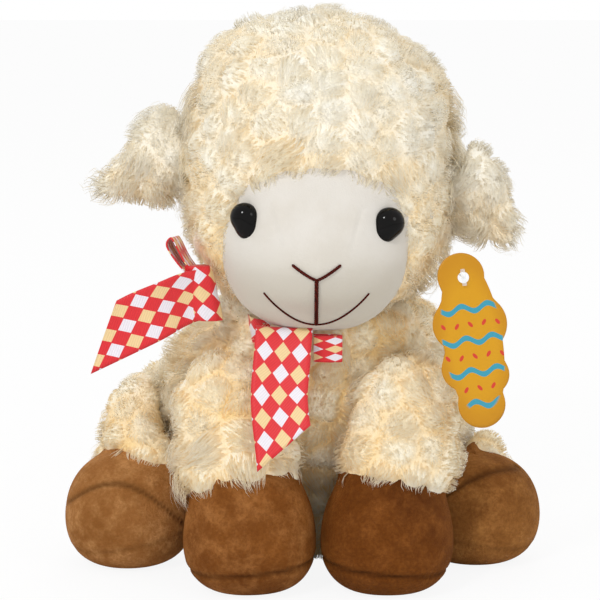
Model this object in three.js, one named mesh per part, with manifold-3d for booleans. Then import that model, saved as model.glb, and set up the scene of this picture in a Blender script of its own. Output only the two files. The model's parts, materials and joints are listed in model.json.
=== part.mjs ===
// A stuffed toy lamb that sits up, in millimetres. +X is the picture's right, the face looks towards -Y,
// +Z is up, and the origin is on the floor under the middle of the seat.
// Shaggy covers are solids as thick as their pile and backing, open where the real ones are sewn to a
// neighbour, and the stuffing inside them is a solid of its own.
import * as THREE from 'three';
import { mergeVertices } from 'three/addons/utils/BufferGeometryUtils.js';
import Module from 'manifold-3d';

const wasm = await Module();
wasm.setup();

// Fit
const gap = 0.3; // between two pieces that touch
const overrun = 60; // how far a cutter reaches past what it cuts
const weld = 0.001;
const slack = gap / 6; // how far the facets of a cut may move when small ones are merged
const pile = 8; // shaggy cloth, backing and pile
const velour = 2; // short cloth of the face and the hooves
const floorFlat = 0.5; // how deep the seat and the soles are pressed flat

// Torso, from the seat to the stump that the head is sewn to
const torsoHeight = 138;
const torsoHalf = 80;
const torsoFront = 60;
const torsoBack = 58;
const torsoY = 20;
const neckY = 2;
const neckSeamDown = 12; // from the top of the stump to the line where the head is sewn on
const pelletTopZ = 32;
const torsoSides = 26;
const torsoInnerSides = 18;
const torsoSquareness = 2.1;
// rise, width, front, back, and how far the middle has moved from the neck to the seat
const torsoShares = [
  [0.012, 0.4, 0.52, 0.55, 1],
  [0.06, 0.61, 0.7, 0.78, 1],
  [0.15, 0.73, 0.8, 0.92, 1],
  [0.29, 0.85, 0.9, 1, 0.92],
  [0.43, 0.98, 1, 1, 0.8],
  [0.58, 0.96, 0.97, 0.95, 0.6],
  [0.71, 0.89, 0.88, 0.88, 0.36],
  [0.81, 0.79, 0.86, 0.87, 0.1],
  [0.87, 0.7, 0.8, 0.82, 0],
  [0.92, 0.59, 0.7, 0.73, 0],
  [0.965, 0.4, 0.51, 0.53, 0],
];

// Head
const neckSink = 26; // how far the stump reaches up into the head
const headHeight = 146;
const headHalf = 62;
const headFront = 72;
const headBack = 60;
const headY = 0;
const jawForward = 12;
const headSides = 28;
const headInnerSides = 20;
const headSquareness = 2.3;
// rise, width, front, back, and how far the middle has moved from the crown to the jaw
const headShares = [
  [0.02, 0.42, 0.55, 0.4, 1],
  [0.07, 0.66, 0.8, 0.62, 1],
  [0.14, 0.82, 0.93, 0.78, 0.9],
  [0.23, 0.93, 1, 0.88, 0.8],
  [0.34, 0.98, 0.97, 0.95, 0.7],
  [0.46, 1, 0.91, 0.98, 0.6],
  [0.58, 1, 0.87, 0.97, 0.45],
  [0.7, 0.96, 0.82, 0.92, 0.3],
  [0.81, 0.86, 0.72, 0.82, 0.2],
  [0.895, 0.71, 0.58, 0.67, 0.1],
  [0.955, 0.48, 0.4, 0.46, 0],
  [0.985, 0.27, 0.22, 0.26, 0],
];

// Muzzle, a low swelling under the nose
const muzzleReach = 4;
const muzzleUp = 30; // above the bottom of the head
const muzzleHalf = 20;

// Face panel
const faceX = -0.9;
const faceHalf = 42.6;
const faceUp = 6; // above the bottom of the head
const faceHigh = 72;
const outlineSteps = 26;
// half of the outline from the chin to the brow, as shares of the half width and of the height
const faceOutlineShares = [
  [0, 0], [0.42, 0.045], [0.74, 0.17], [0.93, 0.34], [1, 0.54], [0.995, 0.74], [0.86, 0.89], [0.5, 0.975],
  [0, 1],
];

// Eyes: a dome with a barbed shank, and the lock washer on it
const eyeAcross = 14;
const eyeProud = 5;
const domeSteps = 6;
const eyeLeftOut = 34.7; // from the middle of the face
const eyeLeftUp = 52.1; // above the bottom of the face
const eyeRightOut = 34.5;
const eyeRightUp = 50.4;
const shankAcross = 4.4;
const shankLength = 13;
const barbDeep = 0.5;
const barbPitch = 2;
const barbCount = 3;
const washerAcross = 14;
const washerThick = 1.2;
const washerLip = 1.6;
const washerDrop = 1.5; // the cloth curves away under the eye, so the washer sits this far behind it
const eyeSides = 14;

// Sewn nose and mouth
const noseThread = 1.7;
const mouthThread = 1;
const threadSides = 6;
const noseHalf = 10;
const noseUp = 27.5; // above the bottom of the face
const noseHigh = 6;
const mouthUp = 6;
const mouthHigh = 13.6;
const mouthHalf = 22.5;
const noseSteps = 4;
const mouthSteps = 14;

// Ears
const earLength = 54;
const earHalf = 26.5;
const earThick = 15;
const earSides = 14;
const earRootDeep = 10; // how far inside the side of the head the ear's own line starts
const earLeftUp = 80; // above the bottom of the head
const earRightUp = 70;
const earLeftDropDegrees = [14, 30]; // fall of the two halves below level
const earRightDropDegrees = [32, 50];
const earLeftRangeDegrees = [-25, 15];
const earRightRangeDegrees = [-4, 40];
const earSeamInset = 5; // seam line behind the surface of the pile
const earLeftForwardShare = 0.12;
const earRightForwardShare = 0.4;
// along the ear: how far, half width, thickness
const earShares = [
  [0.05, 0.88, 0.6], [0.18, 1, 0.8], [0.34, 0.98, 0.96], [0.52, 0.85, 1], [0.7, 0.63, 0.92],
  [0.86, 0.4, 0.7], [0.95, 0.23, 0.42],
];

// Hooves, all alike
const hoofHalf = 30.6;
const hoofFront = 27;
const hoofBack = 27;
const hoofHeight = 50;
const hoofSeamZ = 13;
const hoofSeamTiltDegrees = 5;
const hoofSides = 18;
const hoofInnerSides = 14;
const hoofSquareness = 2.15;
// rise, width, front, back, lean
const hoofShares = [
  [0.02, 0.56, 0.56, 0.56, 0], [0.1, 0.81, 0.8, 0.8, 0], [0.24, 0.96, 0.96, 0.96, 0], [0.42, 1, 1, 1, 0],
  [0.62, 0.97, 0.95, 0.97, 0], [0.78, 0.86, 0.82, 0.88, 0], [0.9, 0.66, 0.62, 0.7, 0],
  [0.97, 0.4, 0.38, 0.44, 0],
];

// Legs
const legHalf = 33;
const legThick = 29;
const legSides = 14;
// along the leg: how far, half width, depth
const frontLegShares = [
  [0.04, 0.5, 0.5], [0.16, 0.74, 0.72], [0.34, 0.88, 0.84], [0.56, 0.97, 0.93], [0.76, 1, 0.98],
  [0.9, 0.86, 0.84], [0.97, 0.5, 0.5],
];
const rearLegShares = [
  [0.04, 0.6, 0.68], [0.16, 0.78, 0.9], [0.34, 0.87, 0.97], [0.56, 0.9, 0.95], [0.76, 0.9, 0.88],
  [0.9, 0.74, 0.7], [0.97, 0.42, 0.4],
];
const frontHoofLeftX = -30.6;
const frontHoofRightX = 31;
const frontHoofAhead = 15; // middle of the hoof, ahead of the widest part of the chest
const shoulderIn = 44; // from the widest part of the torso
const shoulderDeep = 31; // behind the front of the chest
const shoulderDown = 40; // below the top of the stump
const frontLegSink = 12; // how far the leg reaches down into its hoof
const frontKneeOut = 2;
const frontPivotShare = 0.1;
const frontSplayDegrees = 5;
const rearHoofLeftOut = 29.5; // from the hip to the middle of the hoof
const rearHoofLeftAhead = 36; // ahead of the middle of the seat
const rearHoofRightOut = 29.2;
const rearHoofRightAhead = 31;
const hipLeftIn = 22; // from the widest part of the torso
const hipLeftZ = 71;
const hipRightIn = 35;
const hipRightZ = 46;
const hipBack = 4; // behind the middle of the seat
const rearLegSink = 14;
const rearPivotShare = 0.2;
const rearSpreadDegrees = 15;
const sweepSteps = 3; // places at which a moving piece is kept clear over its range

// Tail
const tailHalf = 13;
const tailSides = 12;
const tailRootDeep = 14; // inside the back of the torso
const tailRootZ = 60;
const tailMidBack = 22; // from the root
const tailMidDown = 10;
const tailTipBack = 30;
const tailTipDown = 40;
const tailLiftDegrees = 40;
const tailShares = [
  [0.06, 0.55, 0.55], [0.2, 0.8, 0.8], [0.42, 1, 1], [0.64, 1, 1], [0.82, 0.82, 0.82], [0.94, 0.5, 0.5],
];

// Ribbon, tied round the neck in a bow at the left of the face
const ribbonWide = 25;
const ribbonThick = 0.8;
const bandWide = 14; // the ribbon gathers where it is pulled tight
const bandDown = 27; // below the top of the stump
const bandTiltDegrees = 7;
const bandPress = 4; // how deep it lies in the pile
const knotIn = 11; // from the widest part of the head
const knotAhead = 43;
const knotUp = 22; // above the band
const knotLean = 2.6;
const knotWide = 13;
const knotDeep = 8;
const knotSides = 12;
const knotShares = [[0.04, 0.8, 0.6], [0.2, 0.95, 0.9], [0.5, 0.85, 1], [0.8, 0.95, 0.9], [0.96, 0.8, 0.6]];
const tailOutLeft = 43; // from the knot to the middle of the slanted end of the tail that stands out
const tailOutAhead = 9;
const tailOutDown = 19;
const tailOutBow = 2;
const tailSlant = 9; // how far a cut end slants, half of it each way
const hangX = -15;
const chinAhead = 4; // behind the front of the chest, where the tail leaves the chin
const hangUp = 5; // above the band
const hangAhead = 25; // from there to the end
const hangDown = 45;
const hangBow = 4;
const hangSteps = 9;
const tailSteps = 5;
const loopOutLeft = 13.5; // from the knot
const loopOutBack = 6;
const loopOutUp = 22;
const loopOpen = 6;
const loopSteps = 14;
const loopWidthShare = 0.64; // the loop is drawn in at the knot
const loopBendShare = 0.55; // how far along the loop its sides bend
const loopInnerShare = 0.2; // shares of its opening
const loopBackShare = 0.6;
const tailOutAcrossShares = [0.42, 0, 0.9];
const foldX = 10;
const foldHigh = 12;
const foldThick = 3;

// Swing tag and its nylon fastener
const tagHoleOut = 10.5; // from the place where the thread leaves the cheek
const tagHoleAhead = 13;
const tagHoleBelow = 4.5;
const tagHigh = 77.5;
const tagHalf = 16;
const tagThick = 0.6;
const tagLeanDegrees = 12;
const tagTiltDegrees = 8.5;
const tagHoleAcross = 5;
const tagHoleDown = 11; // from the top edge of the card
const tagLobe = 1.7;
const tagLobeCount = 9;
const tagPointCount = 54;
const anchorIn = 9; // from the widest part of the head
const anchorUp = 35; // above the bottom of the head
const threadAcross = 0.9;
const paddleHigh = 7.5;
const paddleWide = 2;
const paddleThick = 1;
const barHigh = 8;
const barAcross = 1.1;
const fastenerSides = 8;

// Finishes: colour and roughness
const shaggy = [0xf1e4c8, 0.95];
const whiteVelour = [0xf4efe8, 0.9];
const brownVelour = [0x8e5f38, 0.9];
const fibre = [0xf8f8f4, 1];
const pelletCloth = [0xe4e0d6, 0.9];
const glossBlack = [0x0a0a0a, 0.08];
const whitePlastic = [0xe6e6e2, 0.5];
const brownThread = [0x3a1712, 0.6];
const checkedRibbon = [0xd8282e, 0.6];
const yellowCard = [0xe0a024, 0.45];
const clearNylon = [0xe8ecee, 0.3];
const paint = ([color, roughness]) => new THREE.MeshStandardMaterial({ color, roughness, metalness: 0 });

// Heights and places that follow from the sizes above
const neckSeamZ = torsoHeight - neckSeamDown;
const headLowZ = torsoHeight - neckSink;
const headTopZ = headLowZ + headHeight;
const muzzleZ = headLowZ + muzzleUp;
const faceLowZ = headLowZ + faceUp;
const faceTopZ = faceLowZ + faceHigh;
const mouthLowZ = faceLowZ + mouthUp;
const noseLowZ = faceLowZ + noseUp;
const bandZ = torsoHeight - bandDown;
const hangTopZ = bandZ + hangUp;
const chinY = neckY - torsoFront + chinAhead;

const turned = degrees => THREE.MathUtils.degToRad(degrees);
const at = (x, y, z) => new THREE.Vector3(x, y, z);
const listed = v => [v.x, v.y, v.z];

// Meshes and solids
function solidOf(geometry) {
  const bare = geometry.clone();
  bare.deleteAttribute('normal');
  bare.deleteAttribute('uv');
  const merged = mergeVertices(bare, weld);
  const vertProperties = merged.attributes.position.array;
  const triVerts = new Uint32Array(merged.index.array);
  const made = new wasm.Manifold(new wasm.Mesh({ numProp: 3, vertProperties, triVerts }));
  if (made.volume() > 0) return made;
  for (let i = 0; i < triVerts.length; i += 3) {
    [triVerts[i], triVerts[i + 1]] = [triVerts[i + 1], triVerts[i]];
  }
  return new wasm.Manifold(new wasm.Mesh({ numProp: 3, vertProperties, triVerts }));
}

function meshOf(name, solid, material) {
  const { numProp, vertProperties, triVerts } = solid.asOriginal().simplify(slack).getMesh();
  const geometry = new THREE.BufferGeometry();
  geometry.setAttribute('position', new THREE.BufferAttribute(vertProperties, numProp));
  geometry.setIndex(new THREE.BufferAttribute(triVerts, 1));
  geometry.computeVertexNormals();
  const mesh = new THREE.Mesh(geometry, material);
  mesh.name = name;
  return mesh;
}

// rings of points joined into one closed skin, with a point at each end
function skinOver(rings, first, last) {
  const sides = rings[0].length;
  const points = [first, ...rings.flat(), last];
  const tip = points.length - 1;
  const faces = [];
  for (let s = 0; s < sides; s++) {
    const next = (s + 1) % sides;
    faces.push(0, 1 + next, 1 + s, tip, tip - sides + s, tip - sides + next);
    for (let r = 0; r < rings.length - 1; r++) {
      const low = 1 + r * sides;
      const high = low + sides;
      faces.push(low + s, low + next, high + next, low + s, high + next, high + s);
    }
  }
  const geometry = new THREE.BufferGeometry();
  geometry.setAttribute('position', new THREE.Float32BufferAttribute(points.flatMap(listed), 3));
  geometry.setIndex(faces);
  return solidOf(geometry);
}

// a box between two corners
function block(low, high) {
  const box = new THREE.BoxGeometry(high.x - low.x, high.y - low.y, high.z - low.z);
  const middle = low.clone().add(high).multiplyScalar(0.5);
  return solidOf(box.translate(middle.x, middle.y, middle.z));
}

// everything below a level plane, which may be tilted about the front-to-back axis through its middle
function below(level, degrees = 0, x = 0, y = 0) {
  const reach = torsoHeight + overrun;
  const halfSpace = block(at(-reach, -reach, -reach), at(reach, reach, 0));
  return halfSpace.rotate([0, degrees, 0]).translate([x, y, level]);
}

// a child that swings about a pivot is cut by its parent at places over the swing, so it never meets it
function keptClear(child, parent, pivot, axis, degrees) {
  let left = child;
  for (let i = 0; i <= sweepSteps; i++) {
    const angle = -THREE.MathUtils.lerp(degrees[0], degrees[1], i / sweepSteps);
    const away = parent.translate(listed(pivot.clone().negate()));
    left = left.subtract(away.rotate(listed(axis.clone().multiplyScalar(angle))).translate(listed(pivot)));
  }
  return left;
}

// the larger piece is dented by a smaller one that swings past it
function keptBack(parent, child, { pivot, axis, degrees }) {
  return keptClear(parent, child, pivot, axis, degrees.map(d => -d));
}

// the largest body of a solid, for a cut that leaves slivers
const largest = solid => solid.decompose().sort((a, b) => b.volume() - a.volume())[0];

// Forms that stand up: oval rings at heights from a table of shares
function girthAt(form, z, skin) {
  const height = form.high - form.low;
  const middle = (form.high + form.low) / 2;
  const rise = (middle + ((z - middle) * height) / (height + 2 * skin) - form.low) / height;
  const rows = form.shares;
  const above = Math.max(1, Math.min(rows.length - 1, rows.findIndex(row => row[0] >= rise)));
  const [a, b] = rise > rows.at(-1)[0] ? [rows.at(-2), rows.at(-1)] : [rows[above - 1], rows[above]];
  const t = (rise - a[0]) / (b[0] - a[0]);
  const share = i => THREE.MathUtils.lerp(a[i], b[i], t);
  return {
    half: form.half * share(1) + skin,
    front: form.front * share(2) + skin,
    back: form.back * share(3) + skin,
    y: form.y + form.lean * share(4),
  };
}

function standing(form, skin = 0, sides = skin < 0 ? form.innerSides : form.sides) {
  const height = form.high - form.low;
  const middle = (form.high + form.low) / 2;
  const power = 2 / form.squareness;
  const bent = value => Math.sign(value) * Math.abs(value) ** power;
  const stretch = (height + 2 * skin) / height;
  const rings = form.shares.map(([rise]) => {
    const z = middle + (form.low + height * rise - middle) * stretch;
    const girth = girthAt(form, z, skin);
    return Array.from({ length: sides }, (_, i) => {
      const angle = (i / sides) * 2 * Math.PI;
      const x = girth.half * bent(Math.cos(angle));
      const deep = Math.sin(angle) < 0 ? girth.front : girth.back;
      const y = girth.y + deep * bent(Math.sin(angle));
      return at(form.x + x, y - (y < girth.y ? form.swell(x, z) : 0), z);
    });
  });
  const first = girthAt(form, form.low - skin, skin);
  const last = girthAt(form, form.high + skin, skin);
  return skinOver(rings, at(form.x, first.y, form.low - skin), at(form.x, last.y, form.high + skin));
}

// the front of a standing form over a point of the picture
function frontOf(form, x, z, skin) {
  const girth = girthAt(form, z, skin);
  const over = 1 - Math.abs((x - form.x) / girth.half) ** form.squareness;
  return girth.y - girth.front * over ** (1 / form.squareness) - form.swell(x - form.x, z);
}

// Forms along a curved middle line, from a table of how far, half width and depth
function along({ path, flat, half, thick, shares, sides }, skin = 0) {
  const rings = shares.map(([far, wide, deep]) => {
    const middle = path.getPointAt(far);
    const ahead = path.getTangentAt(far);
    const across = flat.clone().addScaledVector(ahead, -flat.dot(ahead)).normalize();
    const through = ahead.clone().cross(across);
    return Array.from({ length: sides }, (_, i) => {
      const angle = (i / sides) * 2 * Math.PI;
      return middle.clone()
        .addScaledVector(across, (half * wide + skin) * Math.cos(angle))
        .addScaledVector(through, (thick * deep + skin) * Math.sin(angle));
    });
  });
  const first = path.getPointAt(0).addScaledVector(path.getTangentAt(0), -skin);
  const last = path.getPointAt(1).addScaledVector(path.getTangentAt(1), skin);
  return skinOver(rings, first, last);
}

const curve = points => new THREE.CatmullRomCurve3(points);
const noSwell = () => 0;
const muzzle = (x, z) => {
  const away = (x / muzzleHalf) ** 2 + ((z - muzzleZ) / muzzleHalf) ** 2;
  return muzzleReach * Math.exp(-away);
};

const torsoForm = {
  low: -floorFlat, high: torsoHeight, half: torsoHalf, front: torsoFront, back: torsoBack, x: 0, y: neckY,
  lean: torsoY - neckY, sides: torsoSides, innerSides: torsoInnerSides, squareness: torsoSquareness,
  shares: torsoShares, swell: noSwell,
};
const headForm = {
  low: headLowZ, high: headTopZ, half: headHalf, front: headFront, back: headBack, x: 0, y: headY,
  lean: -jawForward, sides: headSides, innerSides: headInnerSides, squareness: headSquareness,
  shares: headShares, swell: muzzle,
};
const hoofForm = (x, y) => ({
  low: -floorFlat, high: hoofHeight, half: hoofHalf, front: hoofFront, back: hoofBack, x, y, lean: 0,
  sides: hoofSides, innerSides: hoofInnerSides, squareness: hoofSquareness, shares: hoofShares, swell: noSwell,
});

// Legs: where each one hangs and stands, and how it swings
function frontLegPlan(sign) {
  const hoofX = sign < 0 ? frontHoofLeftX : frontHoofRightX;
  const hoofY = torsoY - torsoFront - frontHoofAhead;
  const topY = neckY - torsoFront + shoulderDeep;
  const top = at(sign * (torsoHalf - shoulderIn), topY, torsoHeight - shoulderDown);
  const foot = at(hoofX, hoofY, hoofHeight - frontLegSink);
  const knee = top.clone().lerp(foot, 0.5).add(at(sign * frontKneeOut, -frontKneeOut, 0));
  return {
    name: `front_${sign < 0 ? 'left' : 'right'}`, foot, axis: at(0, -sign, 0), degrees: [0, frontSplayDegrees],
    pivot: top.clone().lerp(foot, frontPivotShare), hoof: hoofForm(hoofX, hoofY),
    tilt: sign * hoofSeamTiltDegrees, path: curve([top, knee, foot]), shares: frontLegShares,
  };
}

function rearLegPlan(sign) {
  const left = sign < 0;
  const hipX = sign * (torsoHalf - (left ? hipLeftIn : hipRightIn));
  const hoofX = hipX + sign * (left ? rearHoofLeftOut : rearHoofRightOut);
  const hoofY = torsoY - (left ? rearHoofLeftAhead : rearHoofRightAhead);
  const top = at(hipX, torsoY + hipBack, left ? hipLeftZ : hipRightZ);
  const foot = at(hoofX, hoofY, hoofHeight - rearLegSink);
  return {
    name: `rear_${left ? 'left' : 'right'}`, foot, axis: at(0, 0, sign), degrees: [0, rearSpreadDegrees],
    pivot: top.clone().lerp(foot, rearPivotShare), hoof: hoofForm(hoofX, hoofY),
    tilt: 2 * sign * hoofSeamTiltDegrees, path: curve([top, foot]), shares: rearLegShares,
  };
}

// the sleeve of a leg, along its own line
const sleeve = (leg, skin = 0) => along({
  path: leg.path, flat: at(1, 0, 0), half: legHalf, thick: legThick, sides: legSides, shares: leg.shares,
}, skin);
const legs = [frontLegPlan(-1), frontLegPlan(1), rearLegPlan(-1), rearLegPlan(1)];

// Ears
function earPlan(side) {
  const left = side === 'left';
  const sign = left ? -1 : 1;
  const drops = left ? earLeftDropDegrees : earRightDropDegrees;
  const forward = left ? earLeftForwardShare : earRightForwardShare;
  const root = at(sign * (headHalf - earRootDeep), headY, headLowZ + (left ? earLeftUp : earRightUp));
  const points = [root];
  for (const drop of drops) {
    const step = at(sign * Math.cos(turned(drop)), -forward, -Math.sin(turned(drop))).normalize();
    points.push(points.at(-1).clone().addScaledVector(step, earLength / drops.length));
  }
  return {
    name: `${side}_ear`,
    pivot: at(sign * (headHalf - earSeamInset), headY, root.z),
    axis: at(0, -sign, 0),
    degrees: left ? earLeftRangeDegrees : earRightRangeDegrees,
    form: {
      path: curve(points), flat: at(0, 0, 1), half: earHalf, thick: earThick / 2, shares: earShares,
      sides: earSides,
    },
  };
}

// Face outline as a prism through the front of the head
function facePrism(inset) {
  const right = faceOutlineShares.map(([x, z]) => [x * (faceHalf - inset), z]);
  const left = right.slice(1, -1).reverse().map(([x, z]) => [-x, z]);
  const rise = z => THREE.MathUtils.lerp(faceLowZ + inset, faceTopZ - inset, z);
  const points = [...right, ...left].map(([x, z]) => new THREE.Vector2(faceX + x, rise(z)));
  const smooth = new THREE.CatmullRomCurve3(points.map(p => at(p.x, p.y, 0)), true).getPoints(outlineSteps);
  const shape = new THREE.Shape(smooth.slice(0, -1).map(p => new THREE.Vector2(p.x, p.y)));
  const prism = new THREE.ExtrudeGeometry(shape, { depth: headFront + overrun, bevelEnabled: false });
  return solidOf(prism.rotateX(Math.PI / 2)).translate([0, headY - jawForward, 0]);
}

// Eyes stand square to the cloth: a lathe about their own axis, then turned to the face
function eyePlace(x, z) {
  const skin = velour - pile;
  const reach = eyeAcross / 4;
  const y = frontOf(headForm, x, z, skin);
  const overX = (frontOf(headForm, x + reach, z, skin) - frontOf(headForm, x - reach, z, skin)) / (2 * reach);
  const overZ = (frontOf(headForm, x, z + reach, skin) - frontOf(headForm, x, z - reach, skin)) / (2 * reach);
  const out = at(overX, -1, overZ).normalize();
  const turn = new THREE.Quaternion().setFromUnitVectors(at(0, 1, 0), out);
  return new THREE.Matrix4().compose(at(x, y, z), turn, at(1, 1, 1));
}

function lathed(profile, place) {
  const points = profile.map(([r, h]) => new THREE.Vector2(r, h));
  return solidOf(new THREE.LatheGeometry(points, eyeSides).applyMatrix4(place));
}

function eye(place) {
  const r = eyeAcross / 2;
  const foot = gap + eyeProud / 4;
  const dome = Array.from({ length: domeSteps + 1 }, (_, i) => {
    const angle = ((1 - i / domeSteps) * Math.PI) / 2;
    return [r * Math.cos(angle), foot + (eyeProud - foot) * Math.sin(angle)];
  });
  const shank = shankAcross / 2;
  const barbs = Array.from({ length: barbCount }, (_, i) => {
    const down = -velour - (i + 1) * barbPitch;
    return [[shank, down], [shank + barbDeep, down], [shank, down - barbPitch / 2]];
  }).flat();
  const tip = [[shank - barbDeep, -shankLength], [0, -shankLength]];
  return lathed([...dome, [r - barbDeep, gap], [shank, gap], ...barbs, ...tip], place);
}

function washer(place) {
  const hole = shankAcross / 2 + barbDeep + gap;
  const top = -velour - washerDrop;
  const r = washerAcross / 2;
  const profile = [
    [hole, top - washerThick], [r, top - washerThick], [r, top], [hole + washerLip, top],
    [hole + washerLip / 2, top - washerThick / 3], [hole, top - washerThick / 3], [hole, top - washerThick],
  ];
  return lathed(profile, place);
}

// room for the shank and the washer in the stuffing, and for the shank in the cloth
const shankRoom = place => {
  const r = shankAcross / 2 + barbDeep + gap;
  return lathed([[0, eyeProud], [r, eyeProud], [r, -shankLength - gap], [0, -shankLength - gap]], place);
};
const washerRoom = place => {
  const r = washerAcross / 2 + gap;
  const low = -velour - washerDrop - washerThick - gap;
  return lathed([[0, eyeProud], [r, eyeProud], [r, low], [0, low]], place);
};

// Thread sewn on the face: a round tube that keeps just off the cloth
function thread(points, across, steps) {
  const lift = velour - pile + across / 2;
  const onFace = points.map(([x, z]) => at(x, frontOf(headForm, x, z, lift), z));
  const section = new THREE.Shape().absarc(0, 0, across / 2, 0, 2 * Math.PI);
  const tube = { steps, extrudePath: curve(onFace), bevelEnabled: false, curveSegments: threadSides };
  return solidOf(new THREE.ExtrudeGeometry(section, tube));
}

// Ribbon: a flat strip along a line of places, each with the direction of its width
function strip(places, skin) {
  const half = ribbonThick / 2 + skin;
  const sections = places.map(({ point, across, face }) => {
    const out = face.clone().multiplyScalar(half);
    const edge = across.clone().normalize().multiplyScalar(skin).add(across);
    const low = point.clone().sub(edge);
    const high = point.clone().add(edge);
    return [low.clone().sub(out), high.clone().sub(out), high.clone().add(out), low.clone().add(out)];
  });
  const ends = [sections[0], sections.at(-1)].map(four => four[0].clone().add(four[2]).multiplyScalar(0.5));
  return skinOver(sections, ends[0], ends[1]);
}

// places along a curve: the width runs across it, and slants more and more towards a slanted end
function ribbonPlaces(points, widthways, steps, slant = 0, wide = ribbonWide) {
  const path = curve(points);
  return Array.from({ length: steps + 1 }, (_, i) => {
    const point = path.getPointAt(i / steps);
    const ahead = path.getTangentAt(i / steps);
    const across = widthways.clone().addScaledVector(ahead, -widthways.dot(ahead)).normalize();
    const face = ahead.clone().cross(across).normalize();
    across.multiplyScalar(wide / 2).addScaledVector(ahead, (slant * i) / steps);
    return { point, across, face };
  });
}

function neckBand(skin) {
  const under = standing(torsoForm, -bandPress - ribbonThick - skin);
  const shell = standing(torsoForm, skin - bandPress).subtract(under);
  const upper = below(bandZ + bandWide / 2 + skin, bandTiltDegrees, 0, neckY);
  const lower = below(bandZ - bandWide / 2 - skin, bandTiltDegrees, 0, neckY);
  return shell.intersect(upper).subtract(lower);
}

// the pile over the band is pressed down, so the band lies in a groove
function bandGroove() {
  const over = standing(torsoForm, pile).subtract(standing(torsoForm, -bandPress - ribbonThick - gap));
  const upper = below(bandZ + bandWide / 2 + gap, bandTiltDegrees, 0, neckY);
  const lower = below(bandZ - bandWide / 2 - gap, bandTiltDegrees, 0, neckY);
  return over.intersect(upper).subtract(lower);
}

const knot = at(knotIn - headHalf, headY - knotAhead, bandZ + knotUp);

function knotForm(skin) {
  const lean = at(knotLean, 0, -ribbonWide / 2);
  const path = curve([knot.clone().add(lean), knot, knot.clone().sub(lean)]);
  const form = {
    path, flat: at(1, 0, 0), half: knotWide / 2, thick: knotDeep / 2, shares: knotShares, sides: knotSides,
  };
  return along(form, skin);
}

// the tail that stands out to the left of the knot
function tailOut(skin) {
  const start = knot.clone().add(at(-knotWide / 2, 0, 0));
  const end = knot.clone().add(at(-tailOutLeft, -tailOutAhead, -tailOutDown));
  const middle = start.clone().lerp(end, 0.5).add(at(0, -tailOutBow, tailOutBow));
  return strip(ribbonPlaces([start, middle, end], at(...tailOutAcrossShares), tailSteps, -tailSlant), skin);
}

// the tail that comes out of the groove under the chin and hangs over the chest
function tailDown(skin) {
  const startY = frontOf(torsoForm, hangX, bandZ, ribbonThick + 2 * gap - bandPress);
  const bandFront = at(hangX, startY, bandZ);
  const chin = at(hangX, chinY, hangTopZ);
  const low = chin.clone().add(at(0, -hangAhead, -hangDown));
  const points = [bandFront, chin, chin.clone().lerp(low, 0.5).add(at(-hangBow / 2, -hangBow, 0)), low];
  return strip(ribbonPlaces(points, at(1, 0, 0), hangSteps, -tailSlant), skin);
}

// the loop that stands up beside the cheek, seen on edge
function loopOut(skin) {
  const start = knot.clone().add(at(0, knotDeep / 2, ribbonWide / 4));
  const far = knot.clone().add(at(-loopOutLeft, loopOutBack, loopOutUp));
  const bulge = at(-loopOpen, 0, 0);
  const inner = start.clone().lerp(far, loopBendShare).addScaledVector(bulge, loopInnerShare);
  const outer = inner.clone().add(bulge);
  const back = start.clone().addScaledVector(bulge, loopBackShare);
  const points = [start, inner, far, outer, back];
  const across = far.clone().sub(start).cross(bulge);
  return strip(ribbonPlaces(points, across, loopSteps, 0, ribbonWide * loopWidthShare), skin);
}

// the end of the other loop, folded flat under the chin beside the hanging tail
function loopUnder(skin) {
  const z = hangTopZ - foldHigh / 2;
  const inner = at(hangX + ribbonWide / 2 + 2 * gap, chinY, z);
  const front = at(foldX, chinY, z);
  const deep = at(0, foldThick, 0);
  const points = [inner, front, front.clone().add(deep), inner.clone().add(deep)];
  return strip(ribbonPlaces(points, at(0, 0, 1), loopSteps, 0, foldHigh), skin);
}

// Tag: the fastener leaves the cheek at the anchor, and its thread passes through the hole in the card
const anchorX = headHalf - anchorIn;
const anchorZ = headLowZ + anchorUp;
const anchor = at(anchorX, frontOf(headForm, anchorX, anchorZ, 0), anchorZ);
const tagHole = anchor.clone().add(at(tagHoleOut, -tagHoleAhead, -tagHoleBelow));
const threadAhead = tagHole.clone().sub(anchor).normalize();

// the scalloped card is drawn in its own plane with the hole at the origin, then hung
const tagMatrix = new THREE.Matrix4()
  .makeTranslation(tagHole)
  .multiply(new THREE.Matrix4().makeRotationX(Math.PI / 2 + turned(-tagLeanDegrees)))
  .multiply(new THREE.Matrix4().makeRotationZ(turned(tagTiltDegrees)));

function tag() {
  const outline = Array.from({ length: tagPointCount }, (_, i) => {
    const angle = (i / tagPointCount) * 2 * Math.PI;
    const lobe = tagLobe * Math.abs(Math.sin((tagLobeCount * (angle - Math.PI / 2)) / 2 + Math.PI / 2));
    const x = (tagHalf - tagLobe + lobe) * Math.cos(angle);
    const y = (tagHigh / 2 - tagLobe + lobe) * Math.sin(angle) + tagHoleDown - tagHigh / 2;
    return new THREE.Vector2(x, y);
  });
  const shape = new THREE.Shape(outline);
  shape.holes.push(new THREE.Path().absarc(0, 0, tagHoleAcross / 2, 0, 2 * Math.PI));
  const how = { depth: tagThick, bevelEnabled: false, curveSegments: fastenerSides };
  const card = new THREE.ExtrudeGeometry(shape, how);
  return solidOf(card.translate(0, 0, -tagThick / 2).applyMatrix4(tagMatrix));
}

function rod(from, to, across) {
  const section = new THREE.Shape().absarc(0, 0, across / 2, 0, 2 * Math.PI);
  const path = new THREE.LineCurve3(from, to);
  const how = { steps: 1, extrudePath: path, bevelEnabled: false, curveSegments: fastenerSides / 2 };
  return solidOf(new THREE.ExtrudeGeometry(section, how));
}

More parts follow.
